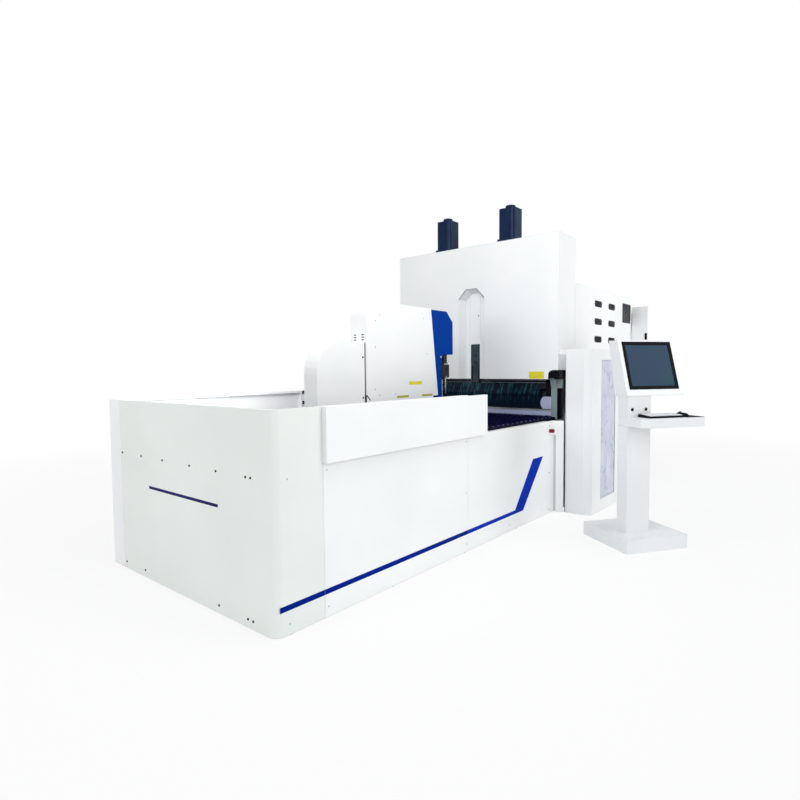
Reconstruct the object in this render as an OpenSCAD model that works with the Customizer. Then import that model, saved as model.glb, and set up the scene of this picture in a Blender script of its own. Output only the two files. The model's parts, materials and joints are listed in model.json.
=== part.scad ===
// Panel bending centre with loading table, feed manipulator, press, rear enclosure,
// electrical cabinet, side guard and free-standing operator console.
// Millimetres. Origin: on the floor, on the centre plane, under the bend line.
// +X to the operator's side, +Y along the feed towards the press, +Z up.

/* [Fence and table base] */
// Half the outside width of the fence
fence_half_w = 928; // [880:1:1000]
// Distance from the bend line to the outside of the front wall
fence_reach = 3360; // [3200:10:3800]
// Height of the fence walls
fence_h = 1150; // [950:5:1400]
// Height of the low side panels beside the press
low_panel_h = 856; // [840:1:870]
// Outside radius of the fence corners
fence_corner_r = 50; // [20:1:80]
// Depth of the flange along the top of the fence
fence_flange = 35; // [20:1:60]
// Height of the panels' lower edge above the floor
panel_floor_gap = 5; // [2:1:30]
// Distance from the bend line to the end of the far wall
far_wall_end = 1580; // [1200:10:2400]
// Distance from the bend line to the seam of the near side panels
near_seam = 1620; // [1200:10:2400]
// Distance from the bend line to the seam near the front corner
corner_seam = 3031; // [2800:1:3180]
// Place of the seam in the front wall, left of the centre plane
front_seam = 728; // [500:1:850]
// Distance from the bend line to the end of the side panels
side_panel_end = 285; // [240:1:400]
// How far the upper side cover stands out
upper_cover_depth = 30; // [15:1:60]
// Lower edge of the upper side cover
upper_cover_z = 847; // [700:1:850]
// Distance from the bend line to the press end of the upper side cover
upper_cover_end = 1398; // [1200:1:1600]
// Width of the square tubes of the table base
tube = 80; // [50:5:100]
// Height of the levelling feet
foot_h = 60; // [40:5:120]
// Height of the table's top
table_z = 875; // [870:1:890]
// Thickness of the table plates
table_t = 24; // [12:1:30]
// Half the width of the slot that the manipulator runs in
slot_half_w = 115; // [95:1:140]
// Pitch of the brush strips
brush_pitch = 80; // [50:5:160]
// Width of a brush strip
brush_w = 34; // [10:1:45]
// Height of the brush strips' base above the table
brush_h = 4; // [2:1:8]

/* [Manipulator] */
// Half the width of the white arm cover
cover_half_w = 86; // [80:1:90]
// Half the thickness of the blue C-shaped arm
arm_half_w = 58; // [40:1:65]
// Top of the arm cover
arm_top = 1890; // [1800:5:2000]
// Distance from the bend line to the rear of the arm cover
cover_rear = 1792; // [1700:1:1850]
// Distance from the bend line to the tip of the arm
nose_reach = 544; // [520:1:600]
// Distance from the bend line to the clamp axis
clamp_reach = 651; // [600:1:680]
// Radius of the clamp rod
ram_r = 12; // [8:1:20]
// Radius of the clamp head
head_r = 55; // [30:1:70]
// Radius of the turntable disc
disc_r = 70; // [40:1:72]
// Height at which the sheet is held
sheet_z = 945; // [930:1:960]
// Half the width of the rear housing
housing_half_w = 72; // [50:1:80]
// Distance from the bend line to the rear of the rear housing
housing_rear = 2303; // [2100:1:2400]
// Top of the rear housing
housing_top = 1555; // [1400:5:1600]
// Radius of the rear housing's rounded shoulder
housing_r = 243; // [150:1:300]
// Radius of the feed screw
feed_screw_r = 20; // [12:1:25]
// Height of the feed screw's axis
feed_screw_z = 200; // [190:1:210]

/* [Press] */
// Half the width of the press cover
press_half_w = 950; // [945:1:1000]
// Distance from the bend line to the press cover's face
press_face = 122; // [115:1:150]
// Height of the press cover
press_h = 2592; // [2500:4:2800]
// Lower edge of the press cover
face_z = 1236; // [1226:1:1260]
// Depth of the hood behind the bend line
hood_depth = 256; // [240:1:300]
// Half the width of the niche at the face
niche_half_w = 155; // [130:1:190]
// Depth of the niche
niche_depth = 80; // [70:1:82]
// Height of the niche's flat top
niche_top = 2161; // [2000:1:2300]
// Half the width of the slot in the niche's back
centre_slot_half_w = 54.5; // [45:0.5:65]
// Distance from the centre plane to the inner face of the side frames
frame_inner = 840; // [830:1:860]
// Thickness of the side frames
frame_t = 60; // [40:1:70]
// Distance from the centre plane to each lift motor
motor_x = 378; // [300:1:450]
// Width of the lift motors
motor_w = 184; // [130:1:200]
// Height of a lift motor's body
motor_h = 326; // [180:1:360]
// Radius of the round cap on a lift motor
motor_cap_r = 50; // [30:1:65]
// Radius of the lift screws
lift_screw_r = 25; // [16:1:30]
// Radial running clearance of the screws
screw_clear = 0.05; // [0.02:0.01:0.1]
// Number of tool segments on the blankholder
tool_count = 36; // [20:1:36]
// Pitch of the tool segments
tool_pitch = 40; // [30:1:40]
// Gap between a tool's tip and the sheet height
tool_gap = 3; // [2:1:6]

/* [Bending mechanism] */
// Half the width of the bending frame
bend_half_w = 779; // [700:1:779]
// Distance from the bend line to the bending blades
blade_y = 24; // [23:1:30]
// Half the opening between the bending blades
blade_gap = 62; // [55:1:70]

/* [Rear enclosure and cabinet] */
// Distance from the bend line to the enclosure's rear
rear_end = 1934; // [1800:1:2200]
// Height of the rear enclosure
rear_h = 2165; // [2100:1:2300]
// Width of the rear door
rear_door_w = 760; // [500:10:900]
// Width of the electrical cabinet
cabinet_w = 800; // [600:10:1000]
// Depth of the electrical cabinet
cabinet_d = 500; // [300:10:600]
// Height of the electrical cabinet
cabinet_h = 2062; // [1800:1:2100]
// Width of the cabinet's narrow side door
hatch_w = 178; // [150:1:240]
// Length of a side vent
vent_l = 194; // [100:1:220]
// Height of a side vent
vent_h = 55; // [30:1:80]

/* [Guard] */
// Height of the side guard
guard_h = 1512; // [1300:1:1800]
// Distance from the centre plane to the guard's front left edge
guard_x = 1028; // [1010:1:1080]
// Width of the guard's front face
guard_w = 163; // [120:1:220]
// Width of the slanted fold beside the guard's front face
guard_fold = 75; // [40:1:120]
// Depth of the guard's side
guard_d = 735; // [600:5:900]
// Length of the guard window
window_l = 381; // [250:1:480]

/* [Console] */
// Console centre, distance from the centre plane
console_x = 1788; // [1600:1:2200]
// Console centre, distance in front of the bend line
console_y = 610; // [300:1:1200]
// Angle that the console is turned by
console_turn = 55.4; // [0:0.1:90]
// Side of the console's square base
console_base_w = 526; // [400:1:600]
// Height of the console's base
console_base_h = 103; // [60:1:140]
// Width of the console's post
post_w = 202; // [150:1:240]
// Depth of the console's post
post_d = 109; // [90:1:140]
// Height of the tray's top
tray_z = 974; // [900:1:1050]
// Thickness of the tray
tray_t = 69; // [40:1:90]
// Width of the tray
tray_w = 534; // [480:1:620]
// Top of the monitor housing
monitor_top = 1548; // [1500:1:1600]
// Lower edge of the monitor housing
monitor_z = 1130; // [1100:1:1160]
// Width of the monitor housing
monitor_w = 502; // [460:1:560]
// Width of the monitor's bezel
bezel_w = 440; // [400:1:450]
// Height of the monitor's bezel
bezel_h = 376; // [340:1:390]
// Width of the visible border round the screen
bezel_border = 26; // [15:1:40]

/* [Hidden] */

// Colours
white_paint = [0.90, 0.92, 0.92];
blue_paint = [0.00, 0.20, 0.58];
navy = [0.06, 0.07, 0.18];
steel = [0.62, 0.64, 0.68];
dark = [0.10, 0.10, 0.12];

// Common values
sheet = 3;              // sheet metal thickness
lip = 20;               // depth of the folded lips
gap = 1;                // seam between neighbouring panels
weld = 0.2;             // joint line between butted tubes and plates
touch = 0.3;            // clearance between sliding faces
eps = 0.01;             // how far a cutting tool runs past a face
through = 1000;         // length of a cutting tool that passes right through
$fn = 48;

// Heights and depths that several pieces share
inner_x = fence_half_w - sheet;
table_bottom = table_z - table_t;
rail_z = table_bottom - tube;
lower_rail_top = foot_h + tube;
girder_h = 160;
girder_x = 150;
girder_w = 70;
girder_top = lower_rail_top + girder_h;
rail_h = 30;
rail_w = 34;
rail_top = girder_top + rail_h;
carriage_z = rail_top + 30;
carriage_t = 40;
carriage_top = carriage_z + carriage_t;
foot_r = 38;
base_front = fence_reach - sheet;
base_inset = fence_corner_r + 10;
niche_taper = 44;
bar_front = 31;
press_end_gap = bar_front + touch;
travel_front = 3200;
motor_plate_y = -travel_front + 160;
screw_support = 40;
niche_back = press_face - niche_depth;
beam_front = 18;
beam_z = face_z + 4;
beam_top = 1900;
beam_half_w = frame_inner - 58 - touch;
clamp_z = beam_z - 48;
notch_top = face_z + 86;
crown_z = press_h - 212;

// ------------------------------------------------------------------ helpers

// A block between two opposite corners
module block(from, to) {
    translate(from) cube(to - from);
}

// A (y, z) outline made solid between two places on X
module along_x(x0, x1) {
    translate([x0, 0, 0]) rotate([90, 0, 90]) linear_extrude(x1 - x0) children();
}

// An (x, z) outline made solid between two places on Y
module along_y(y0, y1) {
    translate([0, y1, 0]) rotate([90, 0, 0]) linear_extrude(y1 - y0) children();
}

// The children and their mirror image across the centre plane
module both_sides() {
    children();
    mirror([1, 0, 0]) children();
}

// A rectangle with round corners between two opposite corners
module round_rect(from, to, r) {
    for (x = [from[0] + r, to[0] - r], y = [from[1] + r, to[1] - r]) translate([x, y]) circle(r);
    translate([from[0] + r, from[1]]) square([to[0] - from[0] - 2 * r, to[1] - from[1]]);
    translate([from[0], from[1] + r]) square([to[0] - from[0], to[1] - from[1] - 2 * r]);
}

// Points of an arc round a centre, from one angle to another
function arc(centre, r, from, to, steps = 8) =
    [for (i = [0:steps]) let (a = from + (to - from) * i / steps) centre + r * [cos(a), sin(a)]];

// ------------------------------------------------------------- table and base

// Place on Y of each of the five frames across the table base
function station(i) = -base_front + base_inset + i * (base_front - base_inset - press_end_gap - tube) / 4;

module base_frame() {
    post_x = girder_x + girder_w + 5;
    inner_rail_x = slot_half_w + 30;
    color(dark) {
        both_sides() {
            // Side rails on two levels
            for (z = [foot_h, rail_z])
                block([inner_x - tube, station(0), z], [inner_x, -press_end_gap, z + tube]);
            for (i = [0:4]) {
                // Corner posts, cross rails under the table plate and slender inner posts
                block([inner_x - tube, station(i), foot_h + tube + weld],
                      [inner_x, station(i) + tube, rail_z - weld]);
                block([inner_rail_x + tube / 2 + weld, station(i), rail_z],
                      [inner_x - tube - weld, station(i) + tube, rail_z + tube]);
                block([post_x, station(i) + 10, lower_rail_top + weld],
                      [post_x + 30, station(i) + tube - 10, rail_z - weld]);
            }
            // Girder under the feed rail, and the inner rail along the slot
            block([girder_x, station(0), lower_rail_top + weld],
                  [girder_x + girder_w, -press_end_gap, girder_top]);
            block([inner_rail_x, station(0), rail_z],
                  [inner_rail_x + tube / 2, -press_end_gap, rail_z + tube]);
        }
        // Cross members on the lower level
        for (i = [0:4])
            block([-inner_x + tube + weld, station(i), foot_h],
                  [inner_x - tube - weld, station(i) + tube, lower_rail_top]);
        // Front members that carry the front wall
        for (z = [foot_h, rail_z])
            block([-inner_x + base_inset, -base_front, z],
                  [inner_x - base_inset, station(0) - weld, z + tube]);
        feed_bearing(motor_plate_y);
        feed_bearing(-press_end_gap - tube / 2 - screw_support / 2);
    }
}

// One bearing block of the feed screw on its own bridge between the girders
module feed_bearing(y) {
    difference() {
        union() {
            block([-60, y, lower_rail_top + weld], [60, y + screw_support, feed_screw_z + 50]);
            block([-girder_x + weld, y, lower_rail_top + weld],
                  [girder_x - weld, y + screw_support, lower_rail_top + 25]);
        }
        translate([0, y - eps, feed_screw_z]) rotate([-90, 0, 0])
            cylinder(r = feed_screw_r + screw_clear, h = screw_support + 2 * eps);
    }
}

module levelling_feet() {
    color(steel)
    for (x = [-1, 1] * (inner_x - foot_r - 1), i = [0:4])
        translate([x, station(i) + tube / 2, 0]) {
            cylinder(r = foot_r, h = 14);
            cylinder(r = 12, h = foot_h);
            translate([0, 0, foot_h - 22]) cylinder(r = 19, h = 12, $fn = 6);
        }
}

// Plan of the fence: a ring of the given thickness that follows the rounded corners
module fence_ring(t) {
    difference() {
        round_rect([-fence_half_w, -fence_reach], [fence_half_w, 0], fence_corner_r);
        round_rect([-fence_half_w + t, -fence_reach + t], [fence_half_w - t, fence_corner_r],
                   max(1, fence_corner_r - t));
        translate([-fence_half_w - 1, -fence_corner_r - eps])
            square([2 * fence_half_w + 2, fence_corner_r + 1]);
    }
}

// A fence wall: sheet, top flange and folded lip, kept where the children lie in plan
module fence_wall() {
    translate([0, 0, panel_floor_gap]) linear_extrude(fence_h - panel_floor_gap)
        intersection() { fence_ring(sheet); children(); }
    translate([0, 0, fence_h - sheet]) linear_extrude(sheet)
        intersection() { fence_ring(fence_flange); children(); }
    translate([0, 0, fence_h - lip]) linear_extrude(lip)
        intersection() {
            difference() { fence_ring(fence_flange); fence_ring(fence_flange - sheet); }
            children();
        }
}

module front_wall() {
    color(white_paint)
    fence_wall() {
        translate([-front_seam + gap / 2, -fence_reach])
            square([fence_half_w + front_seam, fence_reach - corner_seam - gap / 2]);
    }
}

module far_side_wall() {
    color(white_paint) {
        fence_wall() {
            translate([-fence_half_w, -fence_reach])
                square([fence_half_w - front_seam - gap / 2, fence_reach - far_wall_end]);
        }
        // End post of the high wall, above the low panels
        block([-fence_half_w + sheet, -far_wall_end - 62, low_panel_h],
              [-fence_half_w + fence_flange, -far_wall_end, fence_h - sheet]);
    }
}

module near_side_panel() {
    color(white_paint)
    fence_wall() {
        translate([fence_half_w - 2 * fence_flange, -corner_seam + gap / 2])
            square([2 * fence_flange, corner_seam - near_seam - gap]);
    }
}

module press_side_panels() {
    color(white_paint)
    for (side = [[1, near_seam], [-1, far_wall_end]]) {
        mirror([side[0] < 0 ? 1 : 0, 0, 0]) {
            start = -side[1] + gap / 2;
            block([inner_x, start, panel_floor_gap], [fence_half_w, -side_panel_end, low_panel_h]);
            block([inner_x - fence_flange, start, low_panel_h - sheet],
                  [fence_half_w, -side_panel_end, low_panel_h]);
        }
    }
}

module upper_side_cover() {
    y0 = -corner_seam - 2;
    y1 = -upper_cover_end;
    x1 = fence_half_w + upper_cover_depth;
    color(white_paint)
    difference() {
        block([fence_half_w, y0, upper_cover_z], [x1, y1, fence_h - 3]);
        block([fence_half_w + sheet, y0 + sheet, upper_cover_z - eps],
              [x1 - sheet, y1 - sheet, fence_h - 3 - sheet]);
    }
}

// Plan of the corner panel: one leg in line with the side panel, one leg slanting to the guard
module corner_plan(t) {
    corner = [fence_half_w, -press_face - 68];
    end = [guard_x - 10, -press_face - 24];
    slant = atan2(end[1] - corner[1], end[0] - corner[0]);
    inward = t * [-sin(slant), cos(slant)];
    polygon([[corner[0] - t, -side_panel_end + gap], [corner[0], -side_panel_end + gap], corner, end,
             end + inward, corner + [-t, t * (1 - sin(slant)) / cos(slant)]]);
}

// The stop button's frame: +Z points out of the corner panel, at the button's centre
estop_y = -245;
estop_z = 766;
estop_collar_r = 11;
estop_stem_r = 7.05;

module at_estop() {
    translate([fence_half_w, estop_y, estop_z]) rotate([0, 90, 0]) children();
}

module estop_panel() {
    color(white_paint)
    difference() {
        translate([0, 0, panel_floor_gap]) linear_extrude(low_panel_h - panel_floor_gap) corner_plan(sheet);
        at_estop() translate([0, 0, -sheet - 1]) cylinder(r = estop_collar_r + 0.2, h = sheet + 2);
    }
}

module estop_base() {
    color([0.95, 0.80, 0.10])
    at_estop() difference() {
        union() {
            cylinder(r = 17, h = 17);
            translate([0, 0, -sheet + touch]) cylinder(r = estop_collar_r, h = sheet);
        }
        translate([0, 0, 3.5]) cylinder(r = estop_stem_r + screw_clear, h = 20);
    }
}

module estop_button() {
    color([0.70, 0.05, 0.05])
    at_estop() {
        translate([0, 0, 10]) cylinder(r = estop_stem_r, h = 17);
        translate([0, 0, 26]) cylinder(r1 = 18, r2 = 20, h = 6, $fn = 64);
        translate([0, 0, 32]) cylinder(r1 = 20, r2 = 14, h = 8, $fn = 64);
    }
}

module table_halves() {
    color(navy)
    both_sides()
        block([slot_half_w, -base_front + base_inset, table_bottom],
              [inner_x - fence_flange - 8, -bar_front - 3, table_z]);
}

module brush_strips() {
    rows = floor((base_front - base_inset - bar_front - 60) / brush_pitch);
    color(dark)
    both_sides()
        for (i = [0:rows - 1])
            block([slot_half_w + 15, -bar_front - 40 - brush_w - i * brush_pitch, table_z],
                  [inner_x - fence_flange - 20, -bar_front - 40 - i * brush_pitch, table_z + brush_h]);
}

// --------------------------------------------------------------- feed drive

module feed_rails() {
    color(steel)
    both_sides()
        translate([girder_x + girder_w / 2, 0, girder_top]) {
            block([-rail_w / 2, -travel_front, 0], [rail_w / 2, -press_end_gap - 20, rail_h * 0.45]);
            block([-rail_w / 4, -travel_front, rail_h * 0.45 - eps],
                  [rail_w / 4, -press_end_gap - 20, rail_h * 0.7]);
            block([-rail_w / 2, -travel_front, rail_h * 0.7 - eps],
                  [rail_w / 2, -press_end_gap - 20, rail_h]);
        }
}

module feed_screw() {
    color(steel)
    translate([0, motor_plate_y + touch, feed_screw_z]) rotate([-90, 0, 0])
        cylinder(r = feed_screw_r, h = -motor_plate_y - touch - press_end_gap - 15);
}

module feed_motor() {
    color(navy)
    translate([0, motor_plate_y, feed_screw_z]) rotate([90, 0, 0]) {
        linear_extrude(14) round_rect([-58, -58], [58, 58], 8);
        linear_extrude(120) round_rect([-52, -52], [52, 52], 14);
    }
}

// -------------------------------------------------------------- manipulator

module carriage_plate() {
    color(steel) {
        block([-girder_x - girder_w, -2230, carriage_z], [girder_x + girder_w, -700, carriage_top]);
        // Runner blocks on the rails
        both_sides()
            for (y = [-2200, -1500, -830])
                translate([girder_x + girder_w / 2, y, 0]) difference() {
                    block([-34, 0, girder_top + 6], [34, 120, carriage_z + eps]);
                    block([-rail_w / 2 - touch, -eps, girder_top],
                          [rail_w / 2 + touch, 120 + eps, rail_top + touch]);
                }
        // Nut of the feed screw
        difference() {
            block([-50, -960, feed_screw_z - 45], [50, -860, carriage_z + eps]);
            translate([0, -960 - eps, feed_screw_z]) rotate([-90, 0, 0])
                cylinder(r = feed_screw_r + screw_clear, h = 100 + 2 * eps);
        }
        // Post under the rear housing
        block([-50, -2200, carriage_top - eps], [50, -1900, 940]);
        block([-housing_half_w + sheet, -2200, 940 - eps], [housing_half_w - sheet, -1900, 960]);
    }
}

// Outline of the C-shaped arm, seen from +X
module arm_outline() {
    throat = clamp_reach + 73.5;
    difference() {
        polygon(concat(
            [[-1600, carriage_top], [-1600, arm_top - 90], [-1540, arm_top - sheet - 1],
             [-nose_reach - 103, arm_top - sheet - 1], [-nose_reach, arm_top - 102],
             [-nose_reach, 1478], [-throat + 42, 1478]],
            arc([-throat + 42, 1436], 42, 90, 180),
            [[-throat, 845], [-clamp_reach + 85, 845], [-clamp_reach + 95, 825],
             [-clamp_reach + 95, 700], [-clamp_reach + 20, 620], [-throat, 560],
             [-throat, carriage_top]]));
        // Lightening hole hidden by the cover
        translate([-1240, 1480]) circle(170);
    }
}

module arm_frame() {
    color(blue_paint)
    difference() {
        union() {
            along_x(-arm_half_w, arm_half_w) arm_outline();
            // Spacers that carry the cover
            for (place = [[-1000, 1800], [-1500, 1800], [-1000, 1180], [-1500, 1180]])
                translate([-cover_half_w + sheet, place[0], place[1]]) rotate([0, 90, 0])
                    cylinder(r = 20, h = 2 * (cover_half_w - sheet));
        }
        // Bore for the clamp rod and seat of the turntable's shaft
        translate([0, -clamp_reach, 1400]) cylinder(r = ram_r + 2, h = 380);
        translate([0, -clamp_reach, 745]) cylinder(r = 40 + screw_clear, h = 101);
        // Lifting hole at the nose
        translate([-through / 2, -744, 1456]) rotate([0, 90, 0]) cylinder(r = 9, h = through);
    }
}

// Side outline of the arm cover, moved in by t
module cover_outline(t) {
    r = 120;
    polygon(concat(
        [[-cover_rear + t, 1139 - t], [-cover_rear + t, arm_top - r]],
        arc([-cover_rear + r, arm_top - r], r - t, 180, 90),
        [[-931 - t, arm_top - t], [-829 - t, 1108], [-829 - t, 1097 - t],
         [-1757, 1097 - t]]));
}

module arm_cover() {
    color(white_paint)
    difference() {
        along_x(-cover_half_w, cover_half_w) cover_outline(0);
        along_x(-cover_half_w + sheet, cover_half_w - sheet) cover_outline(sheet);
        // Front slot that the arm passes through
        block([-arm_half_w - 0.5, -960, 1000], [arm_half_w + 0.5, -800, arm_top - sheet]);
        // Two columns of short vents in the rear
        for (x = [-38, 46], i = [0:2])
            block([x - 14, -cover_rear - 1, 1576 + i * 20], [x + 14, -cover_rear + 5, 1584 + i * 20]);
    }
}

// Side outline of the rear housing, moved in by t
module housing_outline(t) {
    polygon(concat(
        [[-housing_rear + t, 900 - t], [-housing_rear + t, housing_top - housing_r]],
        arc([-housing_rear + housing_r, housing_top - housing_r], housing_r - t, 180, 90),
        [[-cover_rear - 8 - t, housing_top - t], [-cover_rear - 8 - t, 900 - t]]));
}

module rear_housing() {
    color(white_paint)
    difference() {
        along_x(-housing_half_w, housing_half_w) housing_outline(0);
        along_x(-housing_half_w + sheet, housing_half_w - sheet) housing_outline(sheet);
    }
}

module press_cylinder() {
    color(dark)
    translate([0, -clamp_reach, 0]) difference() {
        union() {
            block([-50, -56, 1258], [50, 56, 1400]);
            block([-50, -30, 1400 - eps], [50, 20, 1478]);
            translate([0, 0, 1240]) cylinder(r = 34, h = 20);
        }
        translate([0, 0, 1200]) cylinder(r = ram_r + screw_clear, h = 400);
    }
}

module gripper_ram() {
    color([0.80, 0.74, 0.35])
    translate([0, -clamp_reach, 0]) {
        translate([0, 0, 1052]) cylinder(r = ram_r, h = 430);
        translate([0, 0, 1052]) cylinder(r = 28, h = 14);
        translate([0, 0, 1030]) cylinder(r = 9.95, h = 24);
    }
}

module gripper_head() {
    color(dark)
    translate([0, -clamp_reach, 0]) difference() {
        union() {
            translate([0, 0, 1010]) cylinder(r = head_r, h = 22);
            translate([0, 0, 1030]) cylinder(r1 = head_r - 10, r2 = 30, h = 21.5);
        }
        translate([0, 0, 1028]) cylinder(r = 10, h = 60);
    }
}

module turntable() {
    color(steel)
    translate([0, -clamp_reach, 0]) {
        translate([0, 0, sheet_z - 34]) cylinder(r = disc_r, h = 34);
        translate([0, 0, 750]) cylinder(r = 40, h = sheet_z - 34 - 750 + eps);
        translate([0, 0, 845 + touch]) cylinder(r = 56, h = 20);
    }
}

// --------------------------------------------------------------------- press

lug_z = 1152;

// Side view of a side frame: a closed plate with a rounded window for the bending frame
module side_frame_outline() {
    top = press_h - 52;
    difference() {
        polygon([[-bar_front, 0], [-bar_front, lug_z], [-60, face_z], [-60, top - 40], [-20, top],
                 [200, top], [240, top - 40], [240, 2100], [900, 1700], [1500, 1250], [1500, 0]]);
        round_rect([420, 560], [1250, 1120], 90);
        translate([90, crown_z - 80]) circle(60);
    }
}

module side_frames() {
    color([0.55, 0.58, 0.58])
    both_sides() difference() {
        union() {
            along_x(frame_inner, frame_inner + frame_t) side_frame_outline();
            // Lug beside the throat, ledge for the bending carriage and foot plates
            block([frame_inner, -bar_front, lug_z], [press_half_w - 4, 0, face_z]);
            block([frame_inner - 60, 200, 330], [frame_inner + eps, 940, 370]);
            for (y = [-20, 1300])
                block([frame_inner + eps, y, 0], [frame_inner + frame_t + 40, y + 200, 30]);
        }
        for (y = [80, 1400])
            translate([frame_inner + frame_t + 20, y, -1]) cylinder(r = 11, h = 40);
    }
}

module press_crown() {
    color([0.55, 0.58, 0.58])
    difference() {
        union() {
            block([-frame_inner, -60, crown_z], [frame_inner, 200, press_h - sheet]);
            block([-frame_inner, 120, 2100], [frame_inner, 200, crown_z + eps]);
        }
        for (x = [-motor_x, motor_x])
            translate([x, 10, crown_z - 1]) cylinder(r = lift_screw_r + screw_clear, h = press_h - crown_z);
    }
}

// Outline of the niche in the press cover, moved in by t
module niche_outline(t) {
    polygon([[-niche_half_w + t, face_z], [-niche_half_w + t, niche_top - 95 - t / 2],
             [-65 + t / 2, niche_top - t], [65 - t / 2, niche_top - t],
             [niche_half_w - t, niche_top - 95 - t / 2], [niche_half_w - t, face_z]]);
}

// Solid that fills the niche from the face to its back: the room inside it, grown by t
module niche_form(t, front) {
    hull() {
        along_y(front, front + 1) niche_outline(-t);
        along_y(-niche_back - 1, -niche_back + t) niche_outline(niche_taper - t);
    }
}

// Notch in a lower corner of the press cover, with one round corner
module cover_notch() {
    r = 46;
    x0 = frame_inner + 10;
    h = notch_top - face_z + 1;
    translate([x0 + r, face_z - 1]) square([press_half_w - x0 - r + 1, h]);
    translate([x0, face_z - 1]) square([r + 1, h - r]);
    translate([x0 + r, notch_top - r]) circle(r);
}

module press_front_cover() {
    color(white_paint)
    difference() {
        union() {
            along_y(-press_face, -press_face + sheet) difference() {
                translate([-press_half_w, face_z]) square([2 * press_half_w, press_h - sheet - face_z]);
                cover_notch();
                mirror([1, 0]) cover_notch();
            }
            // Folded return along the lower edge
            block([-frame_inner - 8, -press_face, face_z],
                  [frame_inner + 8, -press_face + 60, face_z + sheet]);
            // Niche, a folded box with slanted walls
            niche_form(sheet, -press_face + sheet - 1);
        }
        niche_form(0, -press_face - 1);
        // The niche and the slot for the centre rod are open at their lower ends
        hull() {
            along_y(-press_face - 1, -press_face) translate([-niche_half_w, face_z - 9])
                square([2 * niche_half_w, 20]);
            along_y(-niche_back - 1, -niche_back) translate([-niche_half_w + niche_taper, face_z - 9])
                square([2 * (niche_half_w - niche_taper), 20]);
        }
        block([-centre_slot_half_w, -niche_back - 10, face_z - 10],
              [centre_slot_half_w, -niche_back + 10, 1595]);
    }
}

module press_hood() {
    front = -press_face + sheet + weld;
    side = [[front, press_h - sheet - weld], [front, notch_top], [60, notch_top], [60, 900],
            [hood_depth, 900], [hood_depth, press_h - sheet - weld]];
    color(white_paint) {
        both_sides() along_x(press_half_w - sheet, press_half_w) polygon(side);
        difference() {
            block([-press_half_w, -press_face, press_h - sheet], [press_half_w, hood_depth, press_h]);
            for (x = [-motor_x, motor_x])
                translate([x, 10, press_h - 10]) cylinder(r = 40, h = 20);
        }
        block([-press_half_w + sheet + weld, hood_depth - sheet, rear_h + weld],
              [press_half_w - sheet - weld, hood_depth, press_h - sheet - weld]);
    }
}

module lift_motors() {
    color(navy)
    for (x = [-motor_x, motor_x])
        translate([x, 10, press_h]) {
            linear_extrude(26) round_rect([-1, -1] * (motor_w / 2 + 6), [1, 1] * (motor_w / 2 + 6), 12);
            linear_extrude(motor_h) round_rect([-1, -1] * motor_w / 2, [1, 1] * motor_w / 2, 38);
            // Connector box on the rear face
            translate([-28, motor_w / 2 - eps, motor_h - 70]) cube([56, 34, 46]);
        }
}

module motor_caps() {
    r = motor_cap_r;
    color(navy)
    for (x = [-motor_x, motor_x])
        translate([x, 10, press_h + motor_h]) rotate_extrude($fn = 64)
            polygon(concat([[0, 0], [r + 8, 0], [r + 8, 8], [r, 8]], arc([r - 8, 30], 8, 0, 90, 5), [[0, 38]]));
}

module lower_beam() {
    color([0.53, 0.55, 0.68])
    along_x(-frame_inner, frame_inner)
        polygon([[-bar_front, 0], [-bar_front, sheet_z - 20], [20, sheet_z - 20], [20, 700],
                 [120, 560], [120, 0]]);
}

module counter_blade() {
    color(steel)
    along_x(-frame_inner + weld, frame_inner - weld)
        polygon([[-bar_front + 2, sheet_z - 20], [20, sheet_z - 20], [20, sheet_z - 2], [18, sheet_z],
                 [-bar_front + 8, sheet_z], [-bar_front + 2, sheet_z - 6]]);
}

// Stops at both ends of the throat: flat above and below, bulging towards the tools
module bed_cheeks() {
    r = 75;
    color([0.42, 0.48, 0.58])
    both_sides() along_y(-bar_front, 20) intersection() {
        translate([frame_inner - 110, sheet_z + 4]) square([110, 117]);
        union() {
            translate([frame_inner - 35, sheet_z + 60]) circle(r);
            translate([frame_inner - 35, sheet_z]) square([35, 130]);
        }
    }
}

module beam_guides() {
    x0 = frame_inner + frame_t + weld;
    x1 = press_half_w - 4;
    color(dark)
    both_sides() {
        block([frame_inner - 58, -beam_front - 6, 1074], [frame_inner, 60, 2080]);
        block([frame_inner - 66, 60, 1300], [frame_inner, 80, 2080]);
        // Round cap and block behind the cover's notch
        translate([frame_inner + 32, -60, face_z + 40]) rotate([90, 0, 0]) cylinder(r = 28, h = 40);
        block([x0, -100, face_z + weld], [x1, -20, notch_top - 2]);
        // Channel under the side frame's lug, with a groove in its front
        difference() {
            block([x0, -bar_front, low_panel_h + 2], [x1, 0, lug_z - 2]);
            block([x0 + 12, -bar_front - 1, low_panel_h], [x1 - 10, -bar_front + 12, lug_z]);
        }
    }
}

// -------------------------------------------------------------- blankholder

module blankholder_beam() {
    color([0.45, 0.48, 0.52])
    difference() {
        union() {
            along_x(-beam_half_w, beam_half_w)
                polygon([[-beam_front, beam_z], [-beam_front, beam_top], [59, beam_top], [59, beam_z + 20],
                         [45, beam_z]]);
            // Stiffening ribs behind the beam
            for (x = [-600, -200, 200, 600])
                along_x(x - 15, x + 15)
                    polygon([[59 - eps, 1420], [59 - eps, beam_top - 40], [110, beam_top - 140], [110, 1520]]);
        }
        for (x = [-motor_x, motor_x])
            translate([x, 10, 1440]) cylinder(r = lift_screw_r + screw_clear, h = 600);
    }
}

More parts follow.
